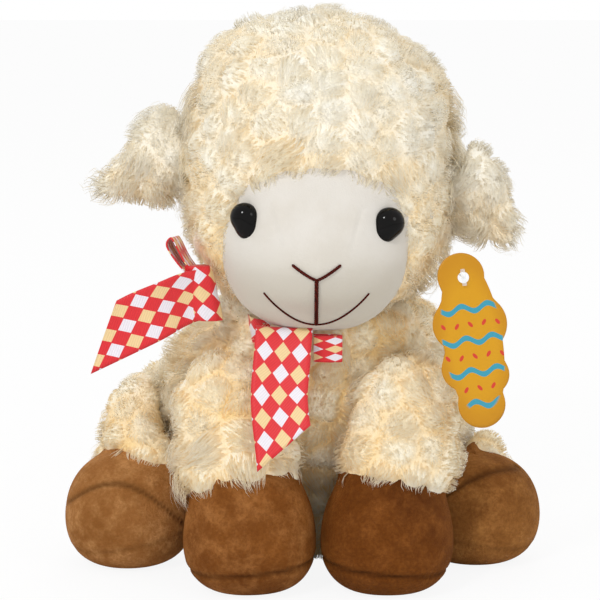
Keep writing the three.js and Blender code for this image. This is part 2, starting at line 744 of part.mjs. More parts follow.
function fastenerBar(skin) {
  const inside = anchor.clone().addScaledVector(threadAhead, -pile);
  const up = at(0, 0, barHigh / 2 + skin);
  const bar = rod(inside.clone().sub(up), inside.clone().add(up), barAcross + 2 * skin);
  return bar.add(rod(inside, anchor.clone().addScaledVector(threadAhead, skin), threadAcross + 2 * skin));
}

function fastenerThread() {
  const paddle = new THREE.BoxGeometry(paddleWide, paddleHigh, paddleThick);
  const ahead = tagThick / 2 + gap + paddleThick / 2;
  const placed = solidOf(paddle.translate(0, 0, ahead).applyMatrix4(tagMatrix));
  const line = rod(
    anchor.clone().addScaledVector(threadAhead, gap),
    tagHole.clone().addScaledVector(threadAhead, ahead),
    threadAcross,
  );
  return placed.add(line);
}

// Everything that stays still is cut in the order of its size
const neckCut = standing(torsoForm, gap).intersect(below(neckSeamZ + gap));
const belowNeck = below(neckSeamZ);
const pressedFlat = below(0);
const eyes = {
  left: eyePlace(faceX - eyeLeftOut, faceLowZ + eyeLeftUp),
  right: eyePlace(faceX + eyeRightOut, faceLowZ + eyeRightUp),
};
const bow = {
  bow_knot: knotForm,
  ribbon_tail_left: tailOut,
  ribbon_tail_centre: tailDown,
  bow_loop_left: loopOut,
  bow_loop_under_chin: loopUnder,
};

const lamb = new THREE.Group();
const pieces = new THREE.Group();
pieces.position.y = -torsoY;
lamb.add(pieces);
const add = (name, solid, finish) => pieces.add(meshOf(name, solid, paint(finish)));

function addTorso() {
  let cover = standing(torsoForm).subtract(standing(torsoForm, -pile)).intersect(belowNeck);
  cover = cover.subtract(pressedFlat).subtract(bandGroove());
  for (const leg of legs) cover = keptBack(cover, standing(leg.hoof, gap), leg);
  for (const piece of Object.values(bow)) cover = cover.subtract(piece(gap));
  add('torso_cover', largest(cover), shaggy);
  const inner = standing(torsoForm, -pile - gap).intersect(belowNeck);
  add('torso_stuffing', inner.subtract(below(pelletTopZ)), fibre);
  add('seat_pellet_bag', inner.intersect(below(pelletTopZ - gap)), pelletCloth);
}

function addHead() {
  const bar = fastenerBar(gap);
  let cover = standing(headForm).subtract(standing(headForm, -pile)).subtract(neckCut);
  cover = cover.subtract(facePrism(0)).subtract(bar);
  for (const piece of Object.values(bow)) cover = cover.subtract(piece(gap));
  add('head_cover', largest(cover), shaggy);
  let panel = standing(headForm, velour - pile, headSides).subtract(standing(headForm, -pile));
  panel = panel.intersect(facePrism(gap)).subtract(neckCut).subtract(bar);
  let stuffing = standing(headForm, -pile - gap).subtract(neckCut).subtract(bar);
  for (const place of Object.values(eyes)) {
    panel = panel.subtract(shankRoom(place));
    stuffing = stuffing.subtract(shankRoom(place)).subtract(washerRoom(place));
  }
  add('face_panel', largest(panel), whiteVelour);
  add('head_stuffing', largest(stuffing), fibre);
  add('fastener_bar', fastenerBar(0), clearNylon);
}

function addFace() {
  const cloth = standing(headForm, velour - pile + gap, headSides);
  for (const [side, place] of Object.entries(eyes)) {
    add(`${side}_eye`, eye(place), glossBlack);
    add(`${side}_eye_washer`, washer(place), whitePlastic);
  }
  const wing = sign => {
    const corner = [faceX + sign * noseHalf, noseLowZ + noseHigh];
    const middle = [faceX + (sign * noseHalf) / 2, noseLowZ + noseHigh / 2];
    return thread([corner, middle, [faceX, noseLowZ]], noseThread, noseSteps);
  };
  const line = [[faceX, noseLowZ], [faceX, (noseLowZ + mouthLowZ) / 2], [faceX, mouthLowZ]];
  const nose = wing(-1).add(wing(1)).add(thread(line, noseThread, noseSteps));
  add('nose_stitching', largest(nose.subtract(cloth)), brownThread);
  const dip = noseThread + gap;
  const smile = Array.from({ length: mouthSteps + 1 }, (_, i) => {
    const share = (2 * i) / mouthSteps - 1;
    return [faceX + share * mouthHalf, mouthLowZ - dip + (mouthHigh + dip) * share * share];
  });
  add('mouth_stitching', largest(thread(smile, mouthThread, mouthSteps).subtract(cloth)), brownThread);
}

function addEars() {
  for (const side of ['left', 'right']) {
    const plan = earPlan(side);
    const clear = keptClear(along(plan.form), standing(headForm, gap), plan.pivot, plan.axis, plan.degrees);
    add(plan.name, largest(clear), shaggy);
  }
}

function addLegs() {
  const torso = standing(torsoForm, gap);
  for (const leg of legs) {
    const hoof = standing(leg.hoof);
    const hollow = standing(leg.hoof, -velour);
    const seam = below(hoofSeamZ, leg.tilt, leg.foot.x, leg.foot.y);
    const seamAbove = below(hoofSeamZ + gap, leg.tilt, leg.foot.x, leg.foot.y);
    const clear = solid => keptClear(solid, torso, leg.pivot, leg.axis, leg.degrees);
    const legRoom = sleeve(leg, -pile);
    const shell = hoof.subtract(hollow).subtract(pressedFlat);
    add(`${leg.name}_hoof_upper`, largest(shell.subtract(seamAbove).subtract(legRoom)), brownVelour);
    add(`${leg.name}_hoof_sole`, largest(shell.intersect(seam)), brownVelour);
    const sewn = sleeve(leg).subtract(legRoom).subtract(standing(leg.hoof, gap));
    add(`${leg.name}_leg`, largest(clear(sewn)), shaggy);
    const stuffing = sleeve(leg, -pile - gap).add(standing(leg.hoof, -velour - gap));
    add(`${leg.name}_leg_stuffing`, largest(clear(stuffing)), fibre);
  }
}

function addTail() {
  const root = at(0, torsoY + torsoBack - tailRootDeep, tailRootZ);
  const middle = root.clone().add(at(0, tailMidBack, -tailMidDown));
  const path = curve([root, middle, root.clone().add(at(0, tailTipBack, -tailTipDown))]);
  const form = {
    path, flat: at(1, 0, 0), half: tailHalf, thick: tailHalf, shares: tailShares, sides: tailSides,
  };
  const pivot = at(0, torsoY + torsoBack - pile, tailRootZ);
  const clear = keptClear(along(form), standing(torsoForm, gap), pivot, at(1, 0, 0), [0, tailLiftDegrees]);
  add('tail', largest(clear), shaggy);
}

function addRibbon() {
  add('neck_ribbon', neckBand(0), checkedRibbon);
  for (const [name, piece] of Object.entries(bow)) {
    let solid = piece(0);
    if (piece !== knotForm) solid = largest(solid.subtract(knotForm(gap)));
    if (piece === loopOut) solid = largest(solid.subtract(tailOut(gap)));
    add(name, solid, checkedRibbon);
  }
}

function addTag() {
  add('swing_tag', tag(), yellowCard);
  add('fastener_thread', fastenerThread(), clearNylon);
}

addTorso();
addHead();
addFace();
addEars();
addLegs();
addTail();
addRibbon();
addTag();

export default lamb;
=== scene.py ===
import json
import math

import bmesh
import bpy
import numpy as np
from mathutils import Matrix, Vector
from mathutils.bvhtree import BVHTree
from mathutils.kdtree import KDTree


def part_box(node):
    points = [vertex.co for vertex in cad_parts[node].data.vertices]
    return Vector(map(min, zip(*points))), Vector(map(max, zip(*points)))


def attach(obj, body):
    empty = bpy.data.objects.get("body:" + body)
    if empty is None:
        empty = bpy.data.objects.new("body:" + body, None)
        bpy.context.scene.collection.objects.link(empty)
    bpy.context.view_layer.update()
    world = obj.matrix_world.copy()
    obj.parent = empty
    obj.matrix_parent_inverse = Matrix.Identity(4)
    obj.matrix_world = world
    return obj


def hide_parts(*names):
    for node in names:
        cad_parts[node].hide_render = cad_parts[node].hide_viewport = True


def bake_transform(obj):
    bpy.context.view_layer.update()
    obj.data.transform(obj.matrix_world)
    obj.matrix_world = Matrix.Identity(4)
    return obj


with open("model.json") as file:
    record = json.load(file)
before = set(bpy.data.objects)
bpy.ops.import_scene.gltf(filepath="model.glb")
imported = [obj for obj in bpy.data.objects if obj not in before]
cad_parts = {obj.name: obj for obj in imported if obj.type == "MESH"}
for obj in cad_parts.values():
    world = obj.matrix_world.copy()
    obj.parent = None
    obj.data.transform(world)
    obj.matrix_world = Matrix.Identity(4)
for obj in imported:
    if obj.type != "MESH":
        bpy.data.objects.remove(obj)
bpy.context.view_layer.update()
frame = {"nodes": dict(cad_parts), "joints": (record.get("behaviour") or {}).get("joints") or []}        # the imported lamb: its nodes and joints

mm = 0.001
fullTurn = 2 * math.pi
inFront = -300 * mm  # rays towards the face start here
rng = np.random.default_rng(11)


def tone(red, green, blue):  # a colour read as 0 to 255, in the shader's own linear values
    shares = [value / 255 for value in (red, green, blue)]
    return [s / 12.92 if s <= 0.04045 else ((s + 0.055) / 1.055) ** 2.4 for s in shares] + [1.0]


white, black = (1, 1, 1, 1), (0, 0, 0, 1)


def at(x, y, z):  # a place in millimetres
    return np.array([x, y, z]) * mm


def turnsOf(sides):  # directions all round
    return fullTurn * np.arange(sides) / sides


def put(name, data, place=(0, 0, 0), aim=None):  # an object in the scene
    made = bpy.data.objects.new(name, data)
    bpy.context.scene.collection.objects.link(made)
    made.location = place
    if aim:
        made.rotation_mode = "QUATERNION"
        made.rotation_quaternion = aim.to_track_quat("-Z", "Y")
    return made


# camera

cameraSettings = {
    "target": (-8 * mm, -20 * mm, 121.4 * mm), "distance": 1.0, "elevation": math.radians(11),
    "focalPixels": 2147, "picturePixels": 600,
}


def setCamera(say):
    back = Vector((0, -math.cos(say["elevation"]), math.sin(say["elevation"])))
    camera = put("camera", bpy.data.cameras.new("camera"), Vector(say["target"]) + back * say["distance"], -back)
    camera.data.lens = camera.data.sensor_width * say["focalPixels"] / say["picturePixels"]
    bpy.context.scene.camera = camera


# shader maths

class Wire:  # a socket that can stand in a sum
    def __init__(self, nodes, socket):
        self.nodes, self.socket = nodes, socket

    def out(self, name):
        return Wire(self.nodes, self.socket.node.outputs[name])

    def maths(self, operation, *others):
        return self.nodes.node("Math", {"operation": operation}, dict(enumerate([self, *others])))


operators = {"add": "ADD", "sub": "SUBTRACT", "mul": "MULTIPLY", "truediv": "DIVIDE", "pow": "POWER"}
for method, operation in operators.items():
    setattr(Wire, f"__{method}__", lambda self, other, operation=operation: self.maths(operation, other))


class Nodes:  # a node tree, emptied and built again
    def __init__(self, tree):
        self.tree = tree
        tree.nodes.clear()

    def node(self, kind, settings=None, inputs=None):
        made = self.tree.nodes.new(f"ShaderNode{kind}")
        for key, value in (settings or {}).items():
            setattr(made, key, value)
        for key, value in (inputs or {}).items():
            if isinstance(value, Wire):
                self.tree.links.new(value.socket, made.inputs[key])
            else:
                made.inputs[key].default_value = value
        shown = [socket for socket in made.outputs if socket.enabled]
        return Wire(self, shown[0]) if shown else made


class Finish(Nodes):  # a material; underscores stand for the spaces in a socket's name
    def __init__(self, name, roughness, **inputs):
        self.material = bpy.data.materials.new(name)
        self.material.use_nodes = True
        super().__init__(self.material.node_tree)
        inputs = {key.replace("_", " "): value for key, value in inputs.items()}
        self.shader = self.node("BsdfPrincipled", {}, {"Roughness": roughness, **inputs})
        self.output = self.node("OutputMaterial", {}, {"Surface": self.shader})

    def feed(self, **inputs):
        for key, value in inputs.items():
            self.tree.links.new(value.socket, self.shader.socket.node.inputs[key.replace("_", " ")])

    def blend(self, share, other):  # part of the surface is another shader's
        both = self.node("MixShader", {}, {0: share, 1: self.shader, 2: other})
        self.tree.links.new(both.socket, self.output.inputs["Surface"])

    def place(self):
        return self.node("TexCoord").out("Object")

    def ownUv(self):
        return self.node("UVMap", {"uv_map": "OFBake"})

    def split(self, vector):
        return self.node("SeparateXYZ", {}, {0: vector})

    def held(self, name):  # a number that the mesh holds at each point
        return self.node("Attribute", {"attribute_name": name}).out("Fac")

    def noise(self, scale, detail=3.0, roughness=0.6):
        inputs = {"Scale": scale, "Detail": detail, "Roughness": roughness, "Vector": self.place()}
        return self.node("TexNoise", {}, inputs)

    def bands(self, vector, scale):
        return self.node("TexWave", {"bands_direction": "DIAGONAL"}, {"Vector": vector, "Scale": scale})

    def mix(self, share, first, second):
        return self.node("Mix", {"data_type": "RGBA"}, {0: share, 6: first, 7: second})

    def step(self, value, low, high):  # 0 below low, 1 above high, smooth between
        ends = {"Value": value, "From Min": low, "From Max": high}
        return self.node("MapRange", {"interpolation_type": "SMOOTHSTEP"}, ends)

    def bump(self, height, distance, strength=1.0):
        self.feed(Normal=self.node("Bump", {}, {"Height": height, "Distance": distance, "Strength": strength}))


# light and floor

stageSettings = {
    "worldStrength": 0.78, "floorColour": (0.9, 0.9, 0.9, 1), "floorGlow": 0.9, "floorReach": 4,
    "lampsAim": (0, 0, 0.12),
    # place, size, watts
    "lamps": [((-0.6, -1.1, 1.1), 0.26, 7.5), ((1.0, -1.0, 0.8), 0.5, 2), ((0.2, 0.9, 1.2), 0.8, 2)],
}


def setStage(say):
    bpy.context.scene.view_settings.view_transform = "Standard"
    world = bpy.data.worlds.new("studio")
    bpy.context.scene.world = world
    world.use_nodes = True
    studio = Nodes(world.node_tree)
    rays = studio.node("LightPath")
    direct = rays.maths("MAXIMUM", rays.out("Is Glossy Ray")).maths("MAXIMUM", rays.out("Is Transmission Ray"))
    strength = studio.node("MapRange", {}, {"Value": direct, "To Min": say["worldStrength"], "To Max": 1.0})
    studio.node("OutputWorld", {}, {"Surface": studio.node("Background", {}, {"Color": white, "Strength": strength})})

    for i, (place, size, watts) in enumerate(say["lamps"]):
        lamp = bpy.data.lights.new(f"softbox{i}", "AREA")
        lamp.shape, lamp.size, lamp.energy = "DISK", size, watts
        put(f"softbox{i}", lamp, place, Vector(say["lampsAim"]) - Vector(place))

    far = say["floorReach"]
    floor = newMesh("floor", [(-far, -far, 0), (far, -far, 0), (far, far, 0), (-far, far, 0)], [[0, 1, 2, 3]])
    paint = Finish("paleFloor", 0.9, Base_Color=say["floorColour"])
    seen = paint.node("LightPath")
    paint.blend(seen * say["floorGlow"], paint.node("Emission", {}, {"Color": white, "Strength": 1.0}))
    floor.data.materials.append(paint.material)


# meshes

def newMesh(name, points, faces):
    mesh = bpy.data.meshes.new(name)
    mesh.from_pydata(np.asarray(points).tolist(), [], [list(map(int, face)) for face in faces])
    mesh.validate()
    mesh.shade_smooth()
    return put(name, mesh)


def cutMesh(name, points, faces):  # only the points that the faces use
    used, renamed = np.unique(faces, return_inverse=True)
    return newMesh(name, points[used], renamed.reshape(-1, 3)), used


def setUv(piece, uv):  # one place for each point
    layer = piece.data.uv_layers.new(name="OFBake")
    corners = np.zeros(len(piece.data.loops), np.int32)
    piece.data.loops.foreach_get("vertex_index", corners)
    layer.data.foreach_set("uv", np.asarray(uv, np.float32)[corners].ravel())


def hold(piece, name, values):  # one number for each point of a mesh
    piece.data.attributes.new(name, "FLOAT", "POINT").data.foreach_set("value", np.asarray(values, np.float32))


def recalc(piece, bevel=None):
    work = bmesh.new()
    work.from_mesh(piece.data)
    if bevel:
        bevel(work)
    bmesh.ops.recalc_face_normals(work, faces=work.faces)
    work.to_mesh(piece.data)
    work.free()


def settle(piece, body, finish, slot, *nodes, limb=None):
    piece.data.materials.append(finish.material)
    if limb:
        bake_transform(piece)
    else:
        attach(piece, body)
    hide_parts(*nodes)


def quads(index, closed=True):  # the faces of a grid of points, which may close on itself sideways
    beside = np.roll(index, -1, 1) if closed else index[:, 1:]
    index = index if closed else index[:, :-1]
    return np.stack([index[:-1], beside[:-1], beside[1:], index[1:]], -1).reshape(-1, 4).tolist()


def fan(hub, ring):  # the faces that close the end of a grid
    return np.stack([np.full(len(ring), hub), np.roll(ring, -1), ring], -1)


def turned(faces):
    return [face[::-1] for face in faces]


def unit(vectors):
    return vectors / np.maximum(np.linalg.norm(vectors, axis=-1, keepdims=True), 1e-12)


def bell(distance, reach):
    return np.exp(-(distance / reach) ** 2)


def wander(points, reach, seed):  # a smooth random vector at each point, each part from -1 to 1
    draw = np.random.default_rng(seed)
    total = np.zeros((len(points), 3))
    for _ in range(4):
        waves = draw.normal(size=(3, 3)) / reach
        total += np.sin(points @ waves.T * 2 + draw.random(3) * fullTurn)
    return total / 2.6


def meshOf(name):
    return frame["nodes"][name].data


def pointsOf(name):
    return np.array([v.co for v in meshOf(name).vertices])


def boxOf(name):  # low, high, middle and half size
    low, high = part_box(name)
    return low, high, (low + high) / 2, (high - low) / 2


def jointPlace(start):  # where the joint with this start of its name turns
    return np.array(next(joint for joint in frame["joints"] if joint["name"].startswith(start))["pos_m"])


def treeOf(meshes):
    points, faces = [], []
    for mesh in meshes:
        faces += [[len(points) + i for i in polygon.vertices] for polygon in mesh.polygons]
        points += [v.co.copy() for v in mesh.vertices]
    return BVHTree.FromPolygons(points, faces)


def kdOf(points):
    tree = KDTree(len(points))
    for i, point in enumerate(points):
        tree.insert(point, i)
    tree.balance()
    return tree


class Holder:  # says which places lie inside a closed form, at least a depth below its surface
    def __init__(self, points, faces):
        self.tree = BVHTree.FromPolygons(np.asarray(points).tolist(), np.asarray(faces).tolist())
        self.low, self.high = points.min(0), points.max(0)

    def holds(self, points, depth):
        inside = np.all((points > self.low) & (points < self.high), axis=1)
        for i in np.where(inside)[0]:
            place, normal, _, away = self.tree.find_nearest(points[i])
            inside[i] = away > depth and (Vector(points[i]) - place).dot(normal) < 0
        return inside


def blurred(grid, before, after):  # the middle of four neighbours, in a grid closed sideways
    padded = np.vstack([before, grid, after])
    return (padded[:-2] + padded[2:] + np.roll(grid, 1, 1) + np.roll(grid, -1, 1)) / 4


class Skin:  # the outer skin of some nodes, felt from outside towards a middle line, and smoothed
    far = 0.3
    healing = 12  # rounds of smoothing that also fill what no ray met

    def __init__(self, names, start, end, rings, sides, smoothing):
        tree = treeOf(map(meshOf, names))
        start, end = Vector(start), Vector(end)
        axis = (end - start).normalized()
        first = Vector((0, -1, 0))
        first = (first - axis * axis.dot(first)).normalized()
        second = axis.cross(first)
        middles, outs, reach = [], [], np.full((rings, sides), np.nan)
        for r in range(rings):
            polar = math.pi * (r + 0.5) / rings
            middle = start.lerp(end, (1 - math.cos(polar)) / 2)
            for s, turn in enumerate(turnsOf(sides)):
                out = (first * math.cos(turn) + second * math.sin(turn)) * math.sin(polar) - axis * math.cos(polar)
                hit = tree.ray_cast(middle + out * self.far, -out, self.far)[0]
                if hit:
                    reach[r, s] = (hit - middle).length
                middles.append(middle)
                outs.append(out)
        self.sides, self.middles, self.outs = sides, np.array(middles), np.array(outs)
        self.root, self.tip = self.middles[0], self.middles[-1]
        self.ahead = unit(self.tip - self.root)
        missing = np.isnan(reach)
        reach[missing] = np.nanmedian(reach)
        for i in range(smoothing):
            if i < self.healing and missing.any():
                reach[missing] = blurred(reach, reach[:1], reach[-1:])[missing]
            reach = blurred(reach, reach[:1], reach[-1:])
        self.reach = reach.ravel()
        index = np.arange(rings * sides).reshape(rings, sides)
        walls = np.array(quads(index))
        foot, head = fan(rings * sides, index[0]), fan(rings * sides + 1, index[-1])[:, [0, 2, 1]]
        self.faces = np.vstack([walls[:, [0, 1, 2]], walls[:, [0, 2, 3]], foot, head])

    def points(self, lift=0.0):  # lift is one number, or one for each point of the grid
        grid = self.middles + self.outs * (self.reach + lift)[:, None]
        return np.vstack([grid, grid[: self.sides].mean(0), grid[-self.sides:].mean(0)])


def crossOf(points, faces):
    a, b, c = (points[faces[:, k]] for k in range(3))
    return np.cross(b - a, c - a)


def normalsOf(points, faces):
    across, total = crossOf(points, faces), np.zeros_like(points)
    for k in range(3):
        np.add.at(total, faces[:, k], across)
    return unit(total)


def areaOf(points, faces):
    return np.linalg.norm(crossOf(points, faces), axis=1).sum() / 2


def scattered(points, faces, count):  # places spread evenly over a surface: face, and weights of its corners
    size = np.linalg.norm(crossOf(points, faces), axis=1)
    pick = rng.choice(len(faces), count, p=size / size.sum())
    u, v = rng.random((2, count))
    over = u + v > 1
    u[over], v[over] = 1 - u[over], 1 - v[over]
    return pick, np.stack([1 - u - v, u, v], 1)


def weighed(values, faces, pick, weights):
    return (values[faces[pick]] * weights[:, :, None]).sum(1)


def spacedOut(points, spacing):  # of many places, some that are at least the spacing apart
    kept, cells = [], {}
    around = [(i, j, k) for i in (-1, 0, 1) for j in (-1, 0, 1) for k in (-1, 0, 1)]
    for n, (x, y, z) in enumerate(np.floor(points / spacing).astype(int)):
        near = [m for i, j, k in around for m in cells.get((x + i, y + j, z + k), ())]
        if all(np.sum((points[m] - points[n]) ** 2) > spacing ** 2 for m in near):
            kept.append(n)
            cells.setdefault((x, y, z), []).append(n)
    return kept


# shaggy cloth: a backing that swells under each tuft, and curled strands that gather in tufts

furColours = {
    # each the pale and the amber one; the darker roots are partly painted shade, and the colour for the backing between
    # the tufts is painted shade
    "root": (tone(245, 238, 221), tone(250, 224, 172)), "middle": (tone(246, 242, 231), tone(250, 237, 208)),
    "tip": (tone(247, 245, 237), tone(251, 246, 230)),
    "shadedHollow": (tone(248, 239, 218), tone(249, 216, 152)), "mound": (tone(249, 246, 236), tone(250, 240, 214)),
    "through": 0.6,  # how much light a strand lets through
}
furLook = {
    "deep": 5.0 * mm, "rise": 3.4 * mm, "spacing": 11 * mm, "perSquareMm": 0.62, "besideDeep": 4.5 * mm,
    "tuftHeights": (0.4, 1.1), "uneven": 0.14, "unevenReach": 2.6 * mm, "tuftWide": 0.6,
    "length": 6.4 * mm, "wide": 0.45 * mm, "gather": 0.3, "stand": 0.4, "arch": 0.6,
    "swirl": 0.45, "swirlReach": 14 * mm, "stray": 0.3, "frizz": 0.1, "curl": 0.18, "turns": 1.0,
    "warmReach": 30 * mm, "domed": 0.35, "seed": 3,
    "warm": lambda points: 0.35,
    "longer": lambda points: 1.0,  # a share of the length
    "shallow": lambda points: 1.0,  # a share of the backing's depth
    "beside": lambda points: np.zeros(len(points)),  # 1 on the edge of an opening
}
thinFloor = 16 * mm  # the backing sinks less where the skin is nearer the floor than this
backingFloor, strandFloor = 0.4 * mm, 0.5 * mm  # and nothing goes lower
stations, widths = np.array([0.0, 0.36, 0.7, 1.0]), np.array([1.0, 0.9, 0.62])
strandFaces = np.array([[0, 1, 3], [0, 3, 2], [2, 3, 5], [2, 5, 4], [4, 5, 6]])


def backingFinish(say):
    backing = Finish("pileBacking", 0.95)
    # painted shade: the backing turns darker and more amber where it sinks between the tufts, paler on the swells
    low, high = (backing.mix(backing.held("warmth"), *say[part]) for part in ("shadedHollow", "mound"))
    height = backing.held("swell") + backing.noise(160.0, 4.0) * 0.5
    backing.feed(Base_Color=backing.mix(backing.step(height, 0.3, 1.1), low, high))
    backing.bump(backing.noise(900.0), 0.0006)
    return backing


def pileFinish(say):
    strands = Finish("shaggyPile", 0.7, Sheen_Weight=0.5, Sheen_Roughness=0.5)
    warm = strands.split(strands.ownUv())
    along = warm.out("Y")
    # darker, more amber roots and paler tips: partly the strands' own colour, partly painted shade deep in the pile
    root, middle, tip = (strands.mix(warm, *say[part]) for part in ("root", "middle", "tip"))
    lower = strands.mix(strands.step(along, 0.0, 0.5), root, middle)
    hair = strands.mix(strands.step(along, 0.35, 0.95), lower, tip)
    strands.feed(Base_Color=hair)
    strands.blend(say["through"], strands.node("BsdfTranslucent", {}, {"Color": hair}))
    return strands


# how far each place goes from pale to amber: partly the fur's own colour, partly painted shade on the head and torso
def warmthOf(points, look):
    return np.clip(look["warm"](points) + wander(points, look["warmReach"], look["seed"] + 5)[:, 0] * 0.3, 0, 1)


def growFur(name, skin, look, keep, bald):
    # backing
    places = skin.points()
    share = np.clip(places[:, 2] / thinFloor, 0.1, 1) * look["shallow"](places)
    beside = look["beside"](places)
    level = skin.points(-look["deep"] * share[:-2] - beside[:-2] * look["besideDeep"])
    level[:, 2] = np.maximum(level[:, 2], backingFloor)
    normals = normalsOf(level, skin.faces)
    faces = skin.faces if keep is None else skin.faces[keep(level[skin.faces].mean(1))]
    area = areaOf(level, faces)
    pick, weights = scattered(level, faces, int(area / look["spacing"] ** 2 * 9))
    centres = weighed(level, faces, pick, weights)
    chosen = spacedOut(centres, look["spacing"])
    centres, tuftNormals = centres[chosen], unit(weighed(normals, faces, pick, weights)[chosen])
    tree = kdOf(centres)
    nearest = [tree.find_n(point, 2) for point in level]
    own = np.array([near[0][1] for near in nearest])
    swell = np.array([near[1][2] - near[0][2] for near in nearest]) / (look["tuftWide"] * look["spacing"])
    height = rng.uniform(*look["tuftHeights"], len(centres))
    uneven = look["uneven"] * wander(level, look["unevenReach"], look["seed"] + 9)[:, 0]
    swell = (np.sqrt(np.clip(swell, 0, 1)) * height[own] + uneven) * (1 - beside)
    total, count = np.zeros(len(level)), np.zeros(len(level))
    for k in range(3):
        np.add.at(total, skin.faces[:, k], swell[skin.faces].sum(1))
        np.add.at(count, skin.faces[:, k], 3)
    swell = total / np.maximum(count, 1)
    pelt = level + normals * (swell * look["rise"])[:, None]
    pelt[:, 2] = np.maximum(pelt[:, 2], backingFloor)
    backing, used = cutMesh(f"{name}_backing", pelt, faces)
    hold(backing, "swell", swell[used])
    hold(backing, "warmth", warmthOf(level, look)[used])

    # strands
    peltNormals = unit(normals * 0.6 + normalsOf(pelt, skin.faces) * 0.4)
    pick, weights = scattered(pelt, faces, int(area / mm ** 2 * look["perSquareMm"]))
    roots, out = weighed(pelt, faces, pick, weights), unit(weighed(peltNormals, faces, pick, weights))
    grown = ~bald(roots)
    roots, out = roots[grown], out[grown]
    owner = np.array([tree.find(root)[1] for root in roots])
    return backing, strandMesh(f"{name}_pile", roots, out, owner, centres, tuftNormals, look)


def strandMesh(name, roots, out, owner, centres, tuftNormals, look):
    tufts, count = len(centres), len(roots)
    comb = look["comb"](centres) + wander(centres, look["swirlReach"], look["seed"]) * look["swirl"]
    comb = comb + rng.normal(size=(tufts, 3)) * look["stray"]
    comb = comb - tuftNormals * (comb * tuftNormals).sum(1, keepdims=True)
    tuftLength = look["length"] * rng.uniform(0.75, 1.2, tufts) * look["longer"](centres)
    phase = rng.uniform(0, fullTurn, tufts)

    length = (tuftLength[owner] * rng.uniform(0.7, 1.1, count))[:, None]
    lean, stand, centre = comb[owner], tuftNormals[owner], centres[owner]
    inward = centre - roots
    loose = rng.normal(size=(count, 3)) * look["frizz"]
    tip = roots + inward * look["gather"] + (stand * look["stand"] + lean + loose) * length
    bend = roots + (out * look["arch"] + lean * 0.15 + loose * 0.3) * length + inward * look["gather"] * 0.3
    side = unit(np.cross(stand, lean + 1e-6))
    ownPhase = phase[owner] + rng.normal(size=count) * 0.35
    line = []
    for t in stations:
        wave = np.sin(ownPhase + t * look["turns"] * fullTurn) * t * look["curl"]
        curl = (side * wave[:, None] + stand * (np.cos(ownPhase + t * 4) * t * look["curl"] * 0.5)[:, None]) * length
        line.append(roots * (1 - t) ** 2 + bend * 2 * t * (1 - t) + tip * t ** 2 + curl)
    line = np.stack(line, 1)  # strand, station, place
    line[..., 2] = np.maximum(line[..., 2], strandFloor)
    across = unit(np.cross(unit(np.gradient(line, axis=1)), out[:, None, :]))
    twist = rng.uniform(-0.7, 0.7, count)[:, None, None]
    across = unit(across * np.cos(twist) + out[:, None, :] * np.sin(twist))
    wide = look["wide"] * rng.uniform(0.6, 1.25, count)[:, None, None] * widths[None, :, None] / 2
    pairs = np.stack([line[:, :3] - across[:, :3] * wide, line[:, :3] + across[:, :3] * wide], 2)
    points = np.concatenate([pairs.reshape(count, 6, 3), line[:, 3:]], 1)
    faces = (np.arange(count)[:, None, None] * 7 + strandFaces[None]).reshape(-1, 3)
    piece = newMesh(name, points.reshape(-1, 3), faces)
    aside = np.linalg.norm(inward, axis=1) / look["spacing"]  # strands between the tufts are painted more amber and darker: painted shade between the tufts
    shade = warmthOf(centres, look)[owner] + (aside - 0.35) * 0.3 + rng.normal(size=count) * 0.08
    along = np.append(np.repeat(stations[:3], 2), 1.0)
    setUv(piece, np.clip(np.stack([np.repeat(shade, 7), np.tile(along, count)], 1), 0.02, 0.98))

    # rounded shading: each strand is lit partly as the tuft that it belongs to
    domed = unit(points - (centre - stand * (0.5 * look["spacing"]))[:, None, :])
    shading = unit(out[:, None, :] + domed * look["domed"] + loose[:, None, :] * 0.1)
    piece.data.normals_split_custom_set_from_vertices(shading.reshape(-1, 3).tolist())
    return piece


# face

faceSettings = {
    "exponent": 2.35, "rings": 60, "sides": 160,
    "under": 1.24,  # how far the cloth runs on under the fur, as a share of the opening
    "felt": 0.9, "smoothing": 30, "onward": 1.15, "polish": 5,
    # the muzzle swells over the fur and turns back on a line round it: direction in degrees, share of the opening
    "rim": [
        (-180, 0.965), (-160, 0.985), (-135, 1.035), (-110, 1.1), (-70, 1.11), (-45, 1.01), (-20, 0.95), (0, 0.93),
        (40, 1.2), (140, 1.2), (180, 0.965),
    ],
    "rimWide": 0.24, "rimDeep": 7 * mm, "rimBack": 13 * mm / 0.12,
    "chinFrom": 0.76, "chinFall": 34 * mm,  # below this share of the opening the chin stays full
    "jowls": 2.2 * mm, "jowlAt": 0.9, "jowlWide": 0.3,
    "socketDeep": 1.5 * mm, "socketReach": 11 * mm,
    "bridge": {"deep": -1.6 * mm, "wide": 9 * mm, "high": 11 * mm, "up": -4 * mm},
    "smile": {"deep": 0.7 * mm, "wide": 20 * mm, "high": 4 * mm, "up": 2 * mm},
    "seamDeep": 0.45 * mm, "seamReach": 0.9 * mm, "seamFoot": (15.5, 7), "seamTop": (20, 22),
    # low: painted shade, the face darker towards the chin as if lit from above
    "white": tone(218, 213, 205), "shade": tone(212, 206, 196), "low": tone(196, 189, 175),
}
eyeMiddle = {side: boxOf(f"{side}_eye")[2] for side in ("left", "right")}
faceLow, _, faceMiddle, faceHalf = boxOf("face_panel")


def faceShare(points):  # 1 on the edge of the face's opening, less inside it
    p = faceSettings["exponent"]
    x = np.abs(points[:, 0] - faceMiddle.x) / faceHalf.x
    z = np.abs(points[:, 2] - faceMiddle.z) / faceHalf.z
    return (x ** p + z ** p) ** (1 / p)


def behindFace(points):
    return points[:, 1] > faceMiddle.y + 30 * mm


def jawShare(points):  # 1 beside the muzzle and under it, 0 above the eyes
    return np.clip((faceMiddle.z + 4 * mm - points[:, 2]) / (20 * mm), 0, 1)


